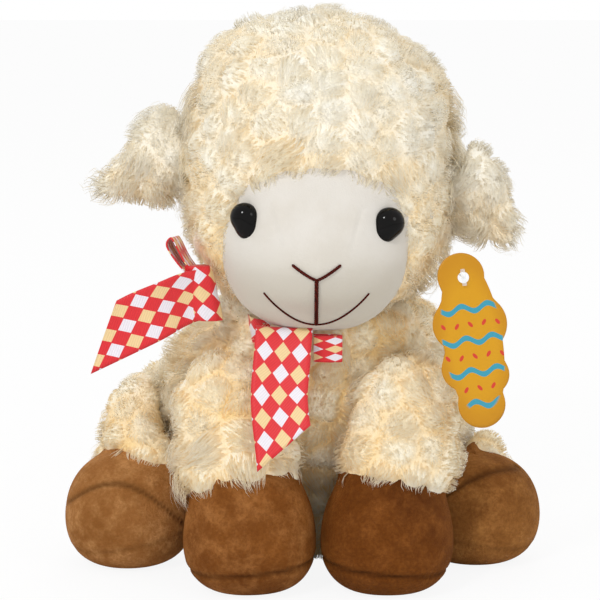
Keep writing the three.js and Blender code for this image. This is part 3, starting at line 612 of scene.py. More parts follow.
def outsideFace(points):
    chin = (points[:, 2] < faceLow.z + 6 * mm) & (points[:, 1] < -55 * mm)
    return ((faceShare(points) > 0.9) & ~(chin & (np.abs(points[:, 0]) < 0.8 * faceHalf.x))) | behindFace(points)


def besideFace(points):  # how far the backing sinks, as a share of its depth there
    jaw = jawShare(points)
    near = 1 - np.clip((faceShare(points) - 0.98 - 0.06 * jaw) / (0.14 + 0.14 * jaw), 0, 1)
    return np.where(behindFace(points), 0, near * (0.5 + 0.5 * jaw))


def makeFace(say):
    tree = treeOf(map(meshOf, ["face_panel", "head_stuffing"]))
    rings, sides, p = say["rings"], say["sides"], say["exponent"]
    turn, row = turnsOf(sides)[None], np.arange(rings)[:, None]
    share = say["under"] * (row + 1) / rings
    c, d = np.cos(turn), np.sin(turn)
    reach = share / (np.abs(c) ** p + np.abs(d) ** p) ** (1 / p)
    x, z = c * reach * faceHalf.x, d * reach * faceHalf.z  # from the middle of the face
    depth = np.full((rings, sides), np.nan)
    for r, s in np.argwhere(np.broadcast_to(share < say["felt"], depth.shape)):
        start = Vector((faceMiddle.x + x[r, s], inFront, faceMiddle.z + z[r, s]))
        hit = tree.ray_cast(start, Vector((0, 1, 0)))[0]
        if hit:
            depth[r, s] = hit.y
    known = ~np.isnan(depth)
    for _ in range(say["smoothing"]):
        level = np.where(known, depth, np.nanmean(depth, 0)[None])
        inner = np.vstack([np.tile(level[0].mean(), (1, sides)), level[:-1]])
        outer = np.vstack([level[1:], level[-1:]])
        outer[:-1][known[:-1] & ~known[1:]] = (level * 2 - inner)[:-1][known[:-1] & ~known[1:]]
        depth = np.where(known, (inner + outer + np.roll(level, 1, 1) + np.roll(level, -1, 1)) / 4, np.nan)
    # past the opening the cloth goes on as it curved inside it
    last = np.where(np.isnan(depth), -1, row).max(0)[None]
    end = np.take_along_axis(depth, last, 0)
    slope = (end - np.take_along_axis(depth, last - 5, 0)) / 5
    depth = np.where(np.isnan(depth), end + slope * np.maximum(row - last, 0) * say["onward"], depth)
    around = np.degrees(turn)
    rim = np.interp((around + 180) % 360 - 180, *zip(*say["rim"]))
    lowness = np.clip(0.3 - d, 0, 1)
    full = depth[np.argmin(np.abs(share[:, 0] - say["chinFrom"]))][None]
    chin = np.minimum(depth, full + say["chinFall"] * np.clip(share - say["chinFrom"], 0, 1))
    depth = depth + (chin - depth) * np.clip(-0.3 - d, 0, 0.5) * 2
    depth -= say["jowls"] * lowness * bell(share - say["jowlAt"], say["jowlWide"])
    bend = np.clip((share - rim + say["rimWide"]) / say["rimWide"], 0, 1)
    depth += lowness * say["rimDeep"] * (1 - np.sqrt(1 - bend ** 2))
    past = np.clip(share - rim, 0, 1)
    held = np.where(share > rim, (rim - 0.25 * past) / share, 1)  # past the rim it goes straight back
    x, z = (faceMiddle[k] + flat * (1 - lowness * (1 - held)) for k, flat in ((0, x), (2, z)))
    depth += lowness * past * say["rimBack"]
    for _ in range(say["polish"]):
        depth = blurred(depth, np.tile(depth[0].mean(), (1, sides)), depth[-1:] * 2 - depth[-2:-1])
    for middle in eyeMiddle.values():
        depth += say["socketDeep"] * bell(np.hypot(x - middle.x, z - middle.z), say["socketReach"])
    nose, noseTop, noseMiddle, _ = boxOf("nose_stitching")
    for own, level in ((say["bridge"], noseTop.z), (say["smile"], nose.z)):
        depth += own["deep"] * bell(x - noseMiddle.x, own["wide"]) * bell(z - level - own["up"], own["high"])
    for sign in (-1, 1):  # the two short seams beside the bridge of the nose
        foot, top = (np.array([noseMiddle.x + sign * out * mm, noseTop.z + rise * mm])
                     for out, rise in (say["seamFoot"], say["seamTop"]))
        away = np.stack([x, z], -1) - foot
        along = np.clip(away @ (top - foot) / ((top - foot) ** 2).sum(), 0, 1)
        away = np.linalg.norm(away - along[..., None] * (top - foot), axis=-1)
        depth += say["seamDeep"] * bell(away, say["seamReach"])
    flat = np.stack([x, depth, z], -1).reshape(-1, 3)
    index = np.arange(rings * sides).reshape(rings, sides)
    faces = quads(index) + fan(rings * sides, index[0]).tolist()
    piece = newMesh("face_velour", np.vstack([flat, flat[:sides].mean(0)]), faces)
    if sum(polygon.normal.y * polygon.area for polygon in piece.data.polygons) > 0:  # its faces look out
        piece.data.flip_normals()
    velour = Finish("whiteVelour", 0.9, Sheen_Weight=0.35, Sheen_Roughness=0.4)
    height = velour.split(velour.place()).out("Z")
    upper = velour.mix(velour.step(velour.noise(55.0), 0.35, 0.75), say["white"], say["shade"])
    # painted shade: towards the chin the face turns to the darker low colour
    rise = velour.step(height, faceLow.z + 14 * mm, faceMiddle.z + 12 * mm)
    velour.feed(Base_Color=velour.mix(rise, say["low"], upper))
    velour.bump(velour.noise(1500.0, 2.0) + velour.noise(420.0, 2.0) * 0.6, 0.00025, 0.5)
    settle(piece, "toy", velour, "face_velour", "face_panel")
    return treeOf([piece.data])


# eyes

eyeSettings = {
    "proud": 5.4 * mm, "sides": 64, "rows": 22, "dome": 0.72 * math.pi,  # it turns in under its edge
    "black": (0.0015, 0.0012, 0.001, 1), "brown": (0.006, 0.003, 0.002, 1),
    # millimetres; x runs to the picture's left
    "left": {"radius": 6.4, "blunt": 5.3, "rise": 1.1, "shift": 0.2, "tip": (-1.3, -4.4)},
    "right": {"radius": 6.8, "blunt": 5.4, "rise": 0.5, "shift": -0.3, "tip": (1.8, -3.1)},
}


def roundsReach(rounds, ahead, reach=0.0):  # how far some round places, each x, y and radius, reach that way
    for x, y, radius in rounds:
        along = ahead.dot((x, y))
        inside = radius ** 2 - x ** 2 - y ** 2 + along ** 2
        if inside > 0:
            reach = max(reach, along + math.sqrt(inside))
    return reach


def makeEyes(say):
    gloss = Finish("eyeBlack", 0.06, Specular_IOR_Level=0.16)
    gloss.feed(Base_Color=gloss.mix(gloss.step(gloss.noise(60.0), 0.4, 0.8), say["black"], say["brown"]))
    rows, sides = say["rows"], say["sides"]
    turns, angles = turnsOf(sides), (say["dome"] * (np.arange(rows) + 0.5) / rows)[:, None, None]
    for side in ("left", "right"):
        own, points = say[side], pointsOf(f"{side}_eye")
        order = np.argsort(points[:, 1])
        shank, front = points[order[-12:]].mean(0), points[order[:14]].mean(0)
        out = unit(front - shank)
        across = unit(np.cross(out, (0, 0, 1)))
        over = np.cross(across, out)
        foot = front + out * ((points @ out).max() - front @ out - say["proud"])
        foot = foot + (across * own["shift"] + over * own["rise"]) * mm
        # a drop: a round that runs out into a smaller one, off to its side
        first, last = np.array([0, 0, own["radius"]]), np.array([*own["tip"], own["blunt"]])
        drop = [first + (last - first) * t for t in np.linspace(0, 1, 24)]
        reach = [roundsReach(drop, np.array([math.cos(t), math.sin(t)]), own["radius"]) * mm for t in turns]
        rim = (np.outer(np.cos(turns), across) + np.outer(np.sin(turns), over)) * np.array(reach)[:, None]
        dome = foot + rim * np.sin(angles) + out * (say["proud"] * np.cos(angles))
        ends = [foot + out * say["proud"] * math.cos(angle) for angle in (0, say["dome"])]
        index, hub = np.arange(rows * sides).reshape(rows, sides), rows * sides
        faces = quads(index) + fan(hub, index[0]).tolist() + fan(hub + 1, index[-1])[:, [0, 2, 1]].tolist()
        piece = newMesh(f"{side}_eye_dome", np.vstack([dome.reshape(-1, 3), ends]), faces)
        recalc(piece)
        settle(piece, "toy", gloss, "eye_black", f"{side}_eye")


# nose and mouth

stitchSettings = {
    "noseAcross": 1.3 * mm, "lineAcross": 1.7 * mm, "mouthAcross": 0.85 * mm, "sides": 10, "pitch": 1.5 * mm,
    "foldDown": 6.9 * mm, "wingBend": 1.25, "mouthUp": 0.8 * mm, "mouthBend": 1.9,
    "brown": tone(48, 8, 3), "light": tone(88, 22, 12),
}


def tube(path, across, sides, pitch):  # thread with the swell of each stitch
    path = np.array(path)
    lengths = np.concatenate([[0], np.cumsum(np.linalg.norm(np.diff(path, axis=0), axis=1))])
    steps = max(8, int(lengths[-1] / (0.35 * mm)))
    along = np.linspace(0, lengths[-1], steps)
    line = np.stack([np.interp(along, lengths, path[:, k]) for k in range(3)], 1)
    for _ in range(6):
        line[1:-1] = (line[:-2] + line[2:] + 2 * line[1:-1]) / 4
    ahead = unit(np.gradient(line, axis=0))
    first = unit(np.cross(ahead, np.array([0, -1.0, 0])))
    second = np.cross(first, ahead)
    swell = 0.92 + 0.16 * np.abs(np.sin(math.pi * along / pitch))
    ends = np.clip(np.minimum(along, lengths[-1] - along) / across * 2.5, 0.25, 1)
    turns = turnsOf(sides)[None, :, None]
    ring = first[:, None] * np.cos(turns) + second[:, None] * np.sin(turns)
    points = line[:, None] + ring * (across / 2 * swell * np.sqrt(ends))[:, None, None]
    index = np.arange(steps * sides).reshape(steps, sides)
    return points.reshape(-1, 3), quads(index) + [index[0][::-1].tolist(), index[-1].tolist()]


def joined(parts):
    points, faces = [], []
    for own, ownFaces in parts:
        faces += [[len(points) + i for i in face] for face in ownFaces]
        points += list(own)
    return points, faces


def makeStitches(say):
    thread = Finish("brownThread", 0.7, Specular_IOR_Level=0.1)
    twist = thread.bands(thread.place(), 420.0)
    thread.feed(Base_Color=thread.mix(thread.step(twist, 0.2, 0.9), say["brown"], say["light"]))
    thread.bump(twist, 0.0002, 0.6)

    def sewn(places, across):  # thread along places on the face
        hits = [faceTree.ray_cast(Vector((x, inFront, z)), Vector((0, 1, 0)))[0] for x, z in places]
        path = [(x, hit.y - 0.1 * mm - across / 4, z) for (x, z), hit in zip(places, hits)]
        return tube(path, across, say["sides"], say["pitch"])

    _, high, middle, half = boxOf("nose_stitching")
    low, mouthHigh, mouthMiddle, mouthHalf = boxOf("mouth_stitching")
    foldZ, mouthZ = high.z - say["foldDown"], low.z + say["mouthUp"]
    rise, smileRise = high.z - foldZ - 0.6 * mm, mouthHigh.z - low.z - 1 * mm
    span = np.linspace(0, 1, 24)
    wings = [([(middle.x + out * (1 - t), foldZ + rise * (1 - t) ** say["wingBend"]) for t in span], "noseAcross")
             for out in (-half.x, half.x)]
    drop = [(middle.x, foldZ + (mouthZ - foldZ) * t) for t in span]
    smile = [(mouthMiddle.x + t * mouthHalf.x, mouthZ + smileRise * abs(t) ** say["mouthBend"])
             for t in np.linspace(-1, 1, 60)]
    for name, runs in (("nose", [*wings, (drop, "lineAcross")]), ("mouth", [(smile, "mouthAcross")])):
        piece = newMesh(f"{name}_thread", *joined([sewn(places, say[across]) for places, across in runs]))
        recalc(piece)
        settle(piece, "toy", thread, "brown_thread", f"{name}_stitching")


# hooves

hoofSettings = {
    "rings": 64, "sides": 120, "smoothing": 26, "middleUp": 17 * mm, "middleDown": 19 * mm, "floor": 0.1 * mm,
    "seamDeep": 0.9 * mm, "seamReach": 1.1 * mm, "pucker": 0.3 * mm, "puckers": 64, "puckerWide": 2.6,
    "uneven": 0.25 * mm, "unevenReach": 20 * mm, "unevenSeed": 40,
    "dents": {  # across from the middle, height, width, depth, in millimetres
        "front_left": (7, 25, 13, 1.0), "front_right": (-6, 22, 12, 0.8), "rear_left": (12, 26, 12, 0.8),
        "rear_right": (-12, 26, 12, 0.6),
    },
    # a second seam over the top: its highest place, and how fast it falls
    "darts": {"rear_left": (-92, 43, 0.022), "rear_right": (85, 46, 0.015)},
    "crown": 24 * mm, "fade": 20 * mm,
    "higher": {"front_left": 1.3, "front_right": 1.22, "rear_left": 1.1, "rear_right": 1.0},
    "dyesWithPaintedLight": {  # dark, body and light of the nap on each hoof; the left hooves' sets are lighter and the right ones' darker: painted light
        "front_left": (tone(104, 56, 16), tone(148, 90, 38), tone(190, 130, 74)),
        "front_right": (tone(80, 38, 6), tone(116, 64, 18), tone(152, 92, 40)),
        "rear_left": (tone(134, 84, 38), tone(184, 126, 72), tone(218, 162, 104)),
        "rear_right": (tone(110, 64, 24), tone(154, 102, 50), tone(190, 132, 72)),
    },
}


def velourOfHoof(name, say):
    velour = Finish(f"{name}_velour", 0.85, Sheen_Weight=0.14, Sheen_Roughness=0.4, Sheen_Tint=tone(240, 160, 70),
                    Specular_IOR_Level=0.1)
    # the tones carry painted light: left hooves lighter, right hooves darker
    dark, body, light = say["dyesWithPaintedLight"][name]
    sweep, strokes, nap = velour.noise(26.0, 2.0, 0.5), velour.noise(95.0, 4.0, 0.65), velour.noise(650.0, 4.0, 0.75)
    base = velour.mix(velour.step(sweep, 0.25, 0.75), dark, body)
    brushed = velour.mix(velour.step(strokes, 0.35, 0.75) * 0.6, base, light)
    napped = velour.mix(velour.step(nap, 0.35, 0.65) * 0.5, brushed, dark)
    velour.feed(Base_Color=velour.mix(velour.held("seam") * 0.8, napped, velour.mix(0.55, dark, black)))
    velour.bump(nap + strokes * 0.8, 0.0012, 0.9)
    return velour


def makeHoof(name, say):
    velour = velourOfHoof(name, say)
    _, high, middle, _ = boxOf(f"{name}_hoof_upper")
    sole = f"{name}_hoof_sole"
    soleLow, _, _, soleHalf = boxOf(sole)
    skin = Skin([f"{name}_hoof_upper", sole, f"{name}_leg_stuffing"], (middle.x, middle.y, soleLow.z + say["middleUp"]),
                (middle.x, middle.y, high.z - say["middleDown"]), say["rings"], say["sides"], say["smoothing"])
    # the seam's slope, from the rim of the sole at its two sides
    points = pointsOf(sole)
    besides = [points[(points[:, 0] - middle.x) * sign > 0.75 * soleHalf.x] for sign in (-1, 1)]
    left, right = (beside[beside[:, 2].argmax()] for beside in besides)
    slope = (right[2] - left[2]) / (right[0] - left[0])
    level = skin.points()
    # the hoof swells upward, and what is under the pile of the leg stays
    swell = np.clip(np.minimum(level[:, 2], high.z) - say["crown"], 0, 1)
    under = np.clip((high.z + say["fade"] - level[:, 2]) / say["fade"], 0, 1)
    level[:, 2] += swell * (say["higher"][name] - 1) * under
    gap = level[:, 2] - left[2] - (level[:, 0] - left[0]) * slope
    front = level[:, 1] < middle.y
    seam = bell(gap, say["seamReach"])
    if name in say["darts"]:
        place, height, fall = say["darts"][name]
        bow = level[:, 2] - (height - fall * (level[:, 0] / mm - place) ** 2) * mm
        seam = np.maximum(seam * 0.4, bell(bow, say["seamReach"]) * front)
    out, up, wide, deep = (value * mm for value in say["dents"][name])
    dent = deep * bell(np.hypot(level[:, 0] - middle.x - out, level[:, 2] - up), wide) * front
    turn = np.arctan2(level[:, 1] - middle.y, level[:, 0] - middle.x)
    pucker = bell(gap, say["puckerWide"] * say["seamReach"]) * say["pucker"] * np.cos(turn * say["puckers"])
    normals = normalsOf(level, skin.faces)
    level = level - normals * (seam * say["seamDeep"] + pucker + dent)[:, None]
    level = level + normals * (wander(level, say["unevenReach"], say["unevenSeed"]) * say["uneven"])[:, :1]
    level[:, 2] = np.maximum(level[:, 2], say["floor"])
    above = gap[skin.faces].mean(1) > 0
    for part, faces in (("upper", skin.faces[above]), ("sole", skin.faces[~above])):
        piece, used = cutMesh(f"{name}_hoof_{part}_velour", level, faces)
        hold(piece, "seam", seam[used])
        settle(piece, f"{name}_leg", velour, "hoof_velour", f"{name}_hoof_{part}")
    return Holder(level, skin.faces)


# ribbon

ribbonSettings = {
    "thick": 0.5 * mm, "across": 14, "width": 25,
    "red": tone(220, 26, 36), "white": tone(236, 230, 238), "cream": tone(238, 206, 150),
    "pitchAcross": 7.7, "pitchAlong": 9.7, "pale": 0.465,  # millimetres, and the half size of a pale diamond in cells
}
plainStrip = {"pinch": (1, 1, 1, 1), "ripple": 0, "slant": 0, "cup": 0, "begins": 0}
bowSettings = {
    "bow_tail_left": {
        "line": [at(-49, -65, 133), at(-59, -67, 131), at(-74, -70, 124.5), at(-95, -72, 114.5)], "steps": 46,
        "across": (0.42, 0, 0.9), "wide": 25, "pinch": (0.8, 0.92, 1, 1), "ripple": 0.5, "slant": -12.5, "cup": 0.9,
        "node": "ribbon_tail_left", "held": "hung", "on": "bow_knot",
    },
    "bow_tail_centre": {
        "line": [
            at(-15, -66, 113), at(-15, -71, 119.5), at(-15, -78, 118.5), at(-16, -84, 106), at(-17, -91, 91),
            at(-15, -99, 71),
        ],
        "steps": 60, "across": (1, 0, 0), "wide": 25, "slant": -9, "cup": -0.8, "begins": 4,
        "node": "ribbon_tail_centre", "held": "hung", "on": "neck_ribbon",
    },
    "bow_loop_cheek": {
        "line": [
            at(-52, -59, 139), at(-58.5, -58, 147.5), at(-62.6, -57.4, 155.5), at(-64.4, -57, 157),
            at(-65.8, -57.4, 153.5), at(-61, -58.4, 146), at(-54.6, -59.4, 139),
        ],
        "steps": 60, "across": (0.17, 1, -0.1), "wide": 15, "node": "bow_loop_left", "held": "folded", "on": "bow_knot",
    },
    "bow_loop_chin": {
        "line": [
            at(-2, -74, 110), at(4, -75.2, 110), at(9.6, -74.6, 110), at(10.2, -73, 110), at(6, -71.6, 110),
            at(-2, -71, 110),
        ],
        "steps": 50, "across": (0, 0, 1), "wide": 12, "node": "bow_loop_under_chin", "held": "folded",
        "on": "bow_tail_centre",
    },
}
knotSettings = {
    "steps": 34, "sides": 56, "lean": 2.6 * mm, "waist": 0.86, "ends": 0.16, "pleats": 7, "pleatDeep": 0.045,
}
bandSettings = {
    "turns": 180, "rows": 8, "wide": 13, "slope": math.tan(math.radians(7)), "round": 13.2, "gather": 0.7 * mm,
    # it comes out of the pile beside the knot; the pile covers it on the chest and the sides
    "shown": math.radians(-38), "shownWide": 0.17, "deep": 8 * mm, "backDeep": 2.5 * mm,
}


def ribbonFinish(say):
    cloth = Finish("checkedRibbon", 0.5, Sheen_Weight=0.2)
    place = cloth.split(cloth.ownUv())
    x, y = (place - 0.5) * (say["width"] / say["pitchAcross"]), place.out("Y") * (say["width"] / say["pitchAlong"])
    column, row = x.maths("ROUND"), y.maths("ROUND")
    diamond = (x - column).maths("ABSOLUTE") + (y - row).maths("ABSOLUTE")
    pale = cloth.mix((column + row).maths("PINGPONG", 1.0), say["white"], say["cream"])
    checks = cloth.mix(cloth.step(diamond, say["pale"] - 0.015, say["pale"] + 0.015), pale, say["red"])
    ribs = cloth.bands(cloth.ownUv(), 11.0)
    cloth.feed(Base_Color=cloth.mix(ribs * 0.22, checks, cloth.mix(0.45, checks, black)))
    cloth.bump(ribs, 0.00015, 0.5)
    return cloth


def smoothLine(points, steps):  # a curve through given points
    points = np.array(points, float)
    ghost = np.vstack([2 * points[0] - points[1], points, 2 * points[-1] - points[-2]])
    spans = len(points) - 1
    along = np.linspace(0, spans, steps)
    k = np.minimum(along.astype(int), spans - 1)
    t = (along - k)[:, None]
    a, b, c, d = (ghost[k + i] for i in range(4))
    return 0.5 * (2 * b + (c - a) * t + (2 * a - 5 * b + 4 * c - d) * t ** 2 + (3 * b - a - 3 * c + d) * t ** 3)


def ribbonStrip(name, own, say):
    steps, n = own["steps"], say["across"]
    line = smoothLine(own["line"], steps)
    line[:, 1] += np.sin(np.linspace(0, 1.3 * fullTurn, steps)) * own["ripple"] * mm
    ahead = unit(np.gradient(line, axis=0))
    across = np.tile(own["across"], (steps, 1))
    across = unit(across - ahead * (across * ahead).sum(1, keepdims=True))
    lengths = np.concatenate([[0], np.cumsum(np.linalg.norm(np.diff(line, axis=0), axis=1))])
    total, shares = lengths[-1], np.linspace(-0.5, 0.5, n)
    width = np.interp(np.linspace(0, 1, steps), [0, 0.12, 0.4, 1], own["pinch"]) * own["wide"] * mm
    shift = (own["slant"] * mm * np.clip((lengths - total * 0.55) / (total * 0.45), 0, 1))[:, None] * shares * 2
    middle = line[:, None] + across[:, None] * (shares * width[:, None])[..., None] + ahead[:, None] * shift[..., None]
    dish = own["cup"] * mm * (1 - (2 * shares) ** 2)
    face = np.cross(ahead, across)[:, None]
    points = [middle + face * (layer * say["thick"] + dish)[None, :, None] for layer in (0.5, -0.5)]
    along = (own["begins"] * mm + lengths[:, None] + shift) / (say["width"] * mm)
    uv = np.stack(np.broadcast_arrays(0.5 + shares, along), -1)
    index = np.arange(2 * steps * n).reshape(2, steps, n)
    rim = np.concatenate([index[:, 0, :], index[:, 1:, -1], index[:, -1, -2::-1], index[:, -2:0:-1, 0]], 1)
    sides = np.stack([rim[0], rim[1], np.roll(rim[1], -1), np.roll(rim[0], -1)], -1).tolist()
    faces = quads(index[0], False) + turned(quads(index[1], False)) + sides
    piece = newMesh(name, np.reshape(points, (-1, 3)), faces)
    recalc(piece)
    setUv(piece, np.tile(uv.reshape(-1, 2), (2, 1)))
    return piece, total


def makeKnot(cloth, say):  # a short tube of ribbon drawn in at both ends, with lengthwise pleats
    _, _, middle, half = boxOf("bow_knot")
    t, turn = np.linspace(-1, 1, say["steps"])[:, None], turnsOf(say["sides"])[None]
    full = (1 - say["ends"] * np.abs(t) ** 2.2) * (say["waist"] + (1 - say["waist"]) * np.abs(t))
    full = full * (1 + say["pleatDeep"] * np.cos(turn * say["pleats"] + 1.2 * t) * (0.4 + 0.6 * np.abs(t))) * 0.94
    x, y, z = np.broadcast_arrays(
        middle.x + say["lean"] * t * 0.98 + np.cos(turn) * half.x * full, middle.y + np.sin(turn) * half.y * full,
        middle.z - half.z * t * 0.98)
    index = np.arange(x.size).reshape(x.shape)
    knot = newMesh("bow_knot_wrap", np.stack([x, y, z], -1).reshape(-1, 3),
                   quads(index) + [index[0].tolist(), index[-1][::-1].tolist()])
    recalc(knot)
    setUv(knot, np.stack(np.broadcast_arrays(0.5 + t * 0.45, turn / fullTurn * 1.6), -1).reshape(-1, 2))
    settle(knot, "toy", cloth, "checked_ribbon", "bow_knot")


def makeBand(cloth, say):  # round the neck, sloping down to the right
    tree = treeOf([meshOf("neck_ribbon")])
    _, _, middle, half = boxOf("neck_ribbon")
    around = turnsOf(say["turns"])
    reach = np.full(say["turns"], np.nan)
    for i, turn in enumerate(around):
        out = Vector((math.sin(turn), -math.cos(turn), 0))
        for rise in (0, 3, -3):
            z = middle.z + rise * mm - out.x * half.x * say["slope"]
            hit = tree.ray_cast(Vector((middle.x, middle.y, z)) + out * 0.2, -out)[0]
            if hit and np.isnan(reach[i]):
                reach[i] = math.hypot(hit.x - middle.x, hit.y - middle.y)
    reach[np.isnan(reach)] = np.nanmedian(reach)
    for _ in range(10):
        reach = (np.roll(reach, 1) + np.roll(reach, -1) + 2 * reach) / 4
    gap = (around - say["shown"]) % fullTurn
    shown = bell(gap, say["shownWide"]) + bell(gap - fullTurn, say["shownWide"])
    ahead = np.clip((np.cos(around) + 0.6) / 0.5, 0, 1)
    reach -= (say["deep"] * ahead + say["backDeep"] * (1 - ahead)) * (1 - shown)
    share = np.linspace(0, 1, say["rows"])[:, None]
    x, y = np.sin(around) * reach, -np.cos(around) * reach
    gather = 1 + say["gather"] * np.sin(around * 9 + share * 2) * (share - 0.5) / reach
    z = middle.z - x * say["slope"] + (share - 0.5) * say["wide"] * mm
    grid = np.stack([middle.x + x * gather, middle.y + y * gather, z], -1)
    wrap = newMesh("neck_band", grid.reshape(-1, 3), quads(np.arange(x.size * say["rows"]).reshape(say["rows"], -1)))
    setUv(wrap, np.stack(np.broadcast_arrays(share * 0.52 + 0.24, around / fullTurn * say["round"]), -1).reshape(-1, 2))
    settle(wrap, "toy", cloth, "checked_ribbon", "neck_ribbon")


def makeRibbon(say, bow):
    cloth = ribbonFinish(say)
    for name, own in bow.items():
        strip, length = ribbonStrip(name, {**plainStrip, **own}, say)
        settle(strip, "toy", cloth, "checked_ribbon", own["node"])
    makeKnot(cloth, knotSettings)
    makeBand(cloth, bandSettings)


# tag and fastener

tagSettings = {
    "yellow": tone(206, 148, 16), "edge": tone(192, 132, 12), "teal": tone(58, 150, 172), "red": tone(202, 62, 42),
    "high": 77.5, "printWide": 32.0, "thick": 0.6, "holeAcross": 5.0, "holeDown": 11.0, "sides": 216, "rings": 40,
    "core": (13, 36.5), "lobes": [  # right, up and radius from the middle of the card
        (-1.0, 28.4, 10.3), (3.5, 6.7, 12.6), (4.8, -15.8, 8.9), (-0.3, -28.2, 10.4), (-5.9, -11.8, 9.6),
        (-4.8, 7.6, 11.7),
    ],
    "lean": math.radians(12), "tilt": math.radians(8.5),
    "threadAcross": 0.9 * mm, "threadArch": 0.9, "paddleUp": 1.5, "paddle": (1.0, 3.75, 0.5), "paddleRound": 0.25 * mm,
}


def makeTag(say):
    hole, anchor = jointPlace("tag"), jointPlace("fastener")
    place = Matrix.Rotation(math.pi / 2 - say["lean"], 3, "X") @ Matrix.Rotation(say["tilt"], 3, "Z")
    onCard = lambda points: hole + np.asarray(points) * mm @ np.array(place).T
    turns = turnsOf(say["sides"])
    reaches = []
    for turn in turns:
        ahead = unit(np.array([math.cos(turn) * 0.6, math.sin(turn)]))
        core = 1 / math.hypot(ahead[0] / say["core"][0], ahead[1] / say["core"][1])
        reaches.append(ahead * roundsReach(say["lobes"], ahead, core))
    even = np.array(reaches)
    for _ in range(60):
        even = (np.roll(even, 1, 0) + np.roll(even, -1, 0)) / 2
    drop = say["holeDown"] - say["high"] / 2
    share = np.linspace(0, 1, say["rings"])[:, None, None]
    outer = even + (reaches - even) * share ** 8 + np.array([0, drop])
    inner = np.stack([np.cos(turns), np.sin(turns)], -1) * say["holeAcross"] / 2
    x, y = np.moveaxis(inner + (outer - inner) * share, -1, 0)
    worn = 0.25 * np.sin(y * 0.11 + 1) + 0.12 * np.sin(x * 0.3 + y * 0.05)
    thick = say["thick"] * (1 - 0.5 * np.clip((share[..., 0] - 0.97) / 0.03, 0, 1))
    points = np.array([np.stack([x, y, layer * thick + worn], -1) for layer in (0.5, -0.5)])
    index = np.arange(2 * x.size).reshape(2, *x.shape)
    faces = turned(quads(index[0])) + quads(index[1])
    for r in (0, -1):
        faces += quads(index[:, r])
    card = newMesh("tag_card", onCard(points.reshape(-1, 3)), faces)
    recalc(card)
    uv = np.stack([0.5 + x / say["high"], 0.5 + (y - drop) / say["high"] * 0.96], -1)
    setUv(card, np.tile(uv.reshape(-1, 2), (2, 1)))

    finish = Finish("tagCard", 0.42, Coat_Weight=0.1, Coat_Roughness=0.2, Specular_IOR_Level=0.25)
    split = finish.split(finish.ownUv())
    x, y = (split - 0.5) * say["high"], (split.out("Y") - 0.5) * (say["high"] / 0.96)
    oval = ((x / (say["printWide"] / 2)) ** 2.0 + (y / (say["high"] / 2)) ** 2.0) ** 0.5
    ground = finish.mix(finish.step(oval + finish.noise(60.0) * 0.12, 0.62, 1.06), say["yellow"], say["edge"])
    inside = finish.step(oval, 0.86, 0.8)
    wavy = y + (x * 0.55).maths("SINE") * 1.3
    bands, rows = wavy.maths("PINGPONG", 7.0), (wavy + 7.0).maths("PINGPONG", 7.0)
    dashes = (x.maths("PINGPONG", 3.0) ** 2.0 + rows ** 2.0) ** 0.5
    printed = finish.mix(finish.step(bands, 1.35, 1.1) * inside * finish.step(wavy, 22.0, 21.0), ground, say["teal"])
    dashed = finish.step(dashes, 1.15, 0.95) * inside * finish.step(wavy, 20.0, 19.0)
    finish.feed(Base_Color=finish.mix(dashed, printed, say["red"]))
    finish.bump(finish.noise(700.0), 0.00006, 0.4)
    settle(card, "swing_tag", finish, "tag_card", "swing_tag")

    nylon = Finish("clearNylon", 0.25, Alpha=0.3, IOR=1.5)
    nylon.feed(Base_Color=nylon.mix(nylon.noise(300.0), tone(226, 230, 232), tone(244, 246, 248)))
    arch = anchor + (hole - anchor) * 0.5 + at(0, 0, say["threadArch"])
    path = smoothLine([anchor, arch, hole, onCard([0, 0, say["paddleUp"]])], 30)
    corners = [(i, j, k) for i in (-1, 1) for j in (-1, 1) for k in (-1, 1)]
    paddle = onCard(np.array(corners) * say["paddle"] + (0, 0, say["paddleUp"]))
    thread = tube(path, say["threadAcross"], 10, 1.0)
    box = [[0, 1, 3, 2], [4, 6, 7, 5], [0, 4, 5, 1], [2, 3, 7, 6], [0, 2, 6, 4], [1, 5, 7, 3]]
    line = newMesh("fastener_line", *joined([thread, (paddle, box)]))

    def roundPaddle(work):
        sharp = [edge for edge in work.edges if min(v.index for v in edge.verts) >= len(thread[0])]
        bmesh.ops.bevel(work, geom=sharp, offset=say["paddleRound"], segments=3, profile=0.5, affect="EDGES")

    recalc(line, roundPaddle)
    settle(line, "fastener_thread", nylon, "clear_nylon", "fastener_thread")
    return nylon


# what is hidden inside keeps its own solid, with a finish

insideFinishes = {  # by the end of a node's name: material, roughness, texture, its inputs, dark, light, bump
    "stuffing": ("fibreFill", 1.0, "TexNoise", {"Scale": 260.0, "Detail": 5.0, "Roughness": 0.7},
                 tone(236, 236, 232), tone(252, 252, 250), (0.0008, 1.0)),
    "pellet_bag": ("pelletBag", 0.9, "TexVoronoi", {"Scale": 240.0},
                   tone(214, 208, 196), tone(236, 232, 222), (0.0008, 1.0)),
    "washer": ("washerPlastic", 0.45, "TexNoise", {"Scale": 500.0, "Detail": 3.0, "Roughness": 0.6},
               tone(228, 228, 224), tone(240, 240, 236), (0.0001, 0.4)),
}


def finishInside(nylon):
    made = {"fastener_bar": nylon}
    for ending, (name, roughness, texture, inputs, dark, light, bump) in insideFinishes.items():
        finish = made[ending] = Finish(name, roughness)
        grain = finish.node(texture, {}, {"Vector": finish.place(), **inputs})
        finish.feed(Base_Color=finish.mix(grain, dark, light))
        finish.bump(grain, *bump)
    for name in frame["nodes"]:
        for ending, finish in made.items():
            if name.endswith(ending):
                meshOf(name).materials.clear()
                meshOf(name).materials.append(finish.material)


# shaggy pieces

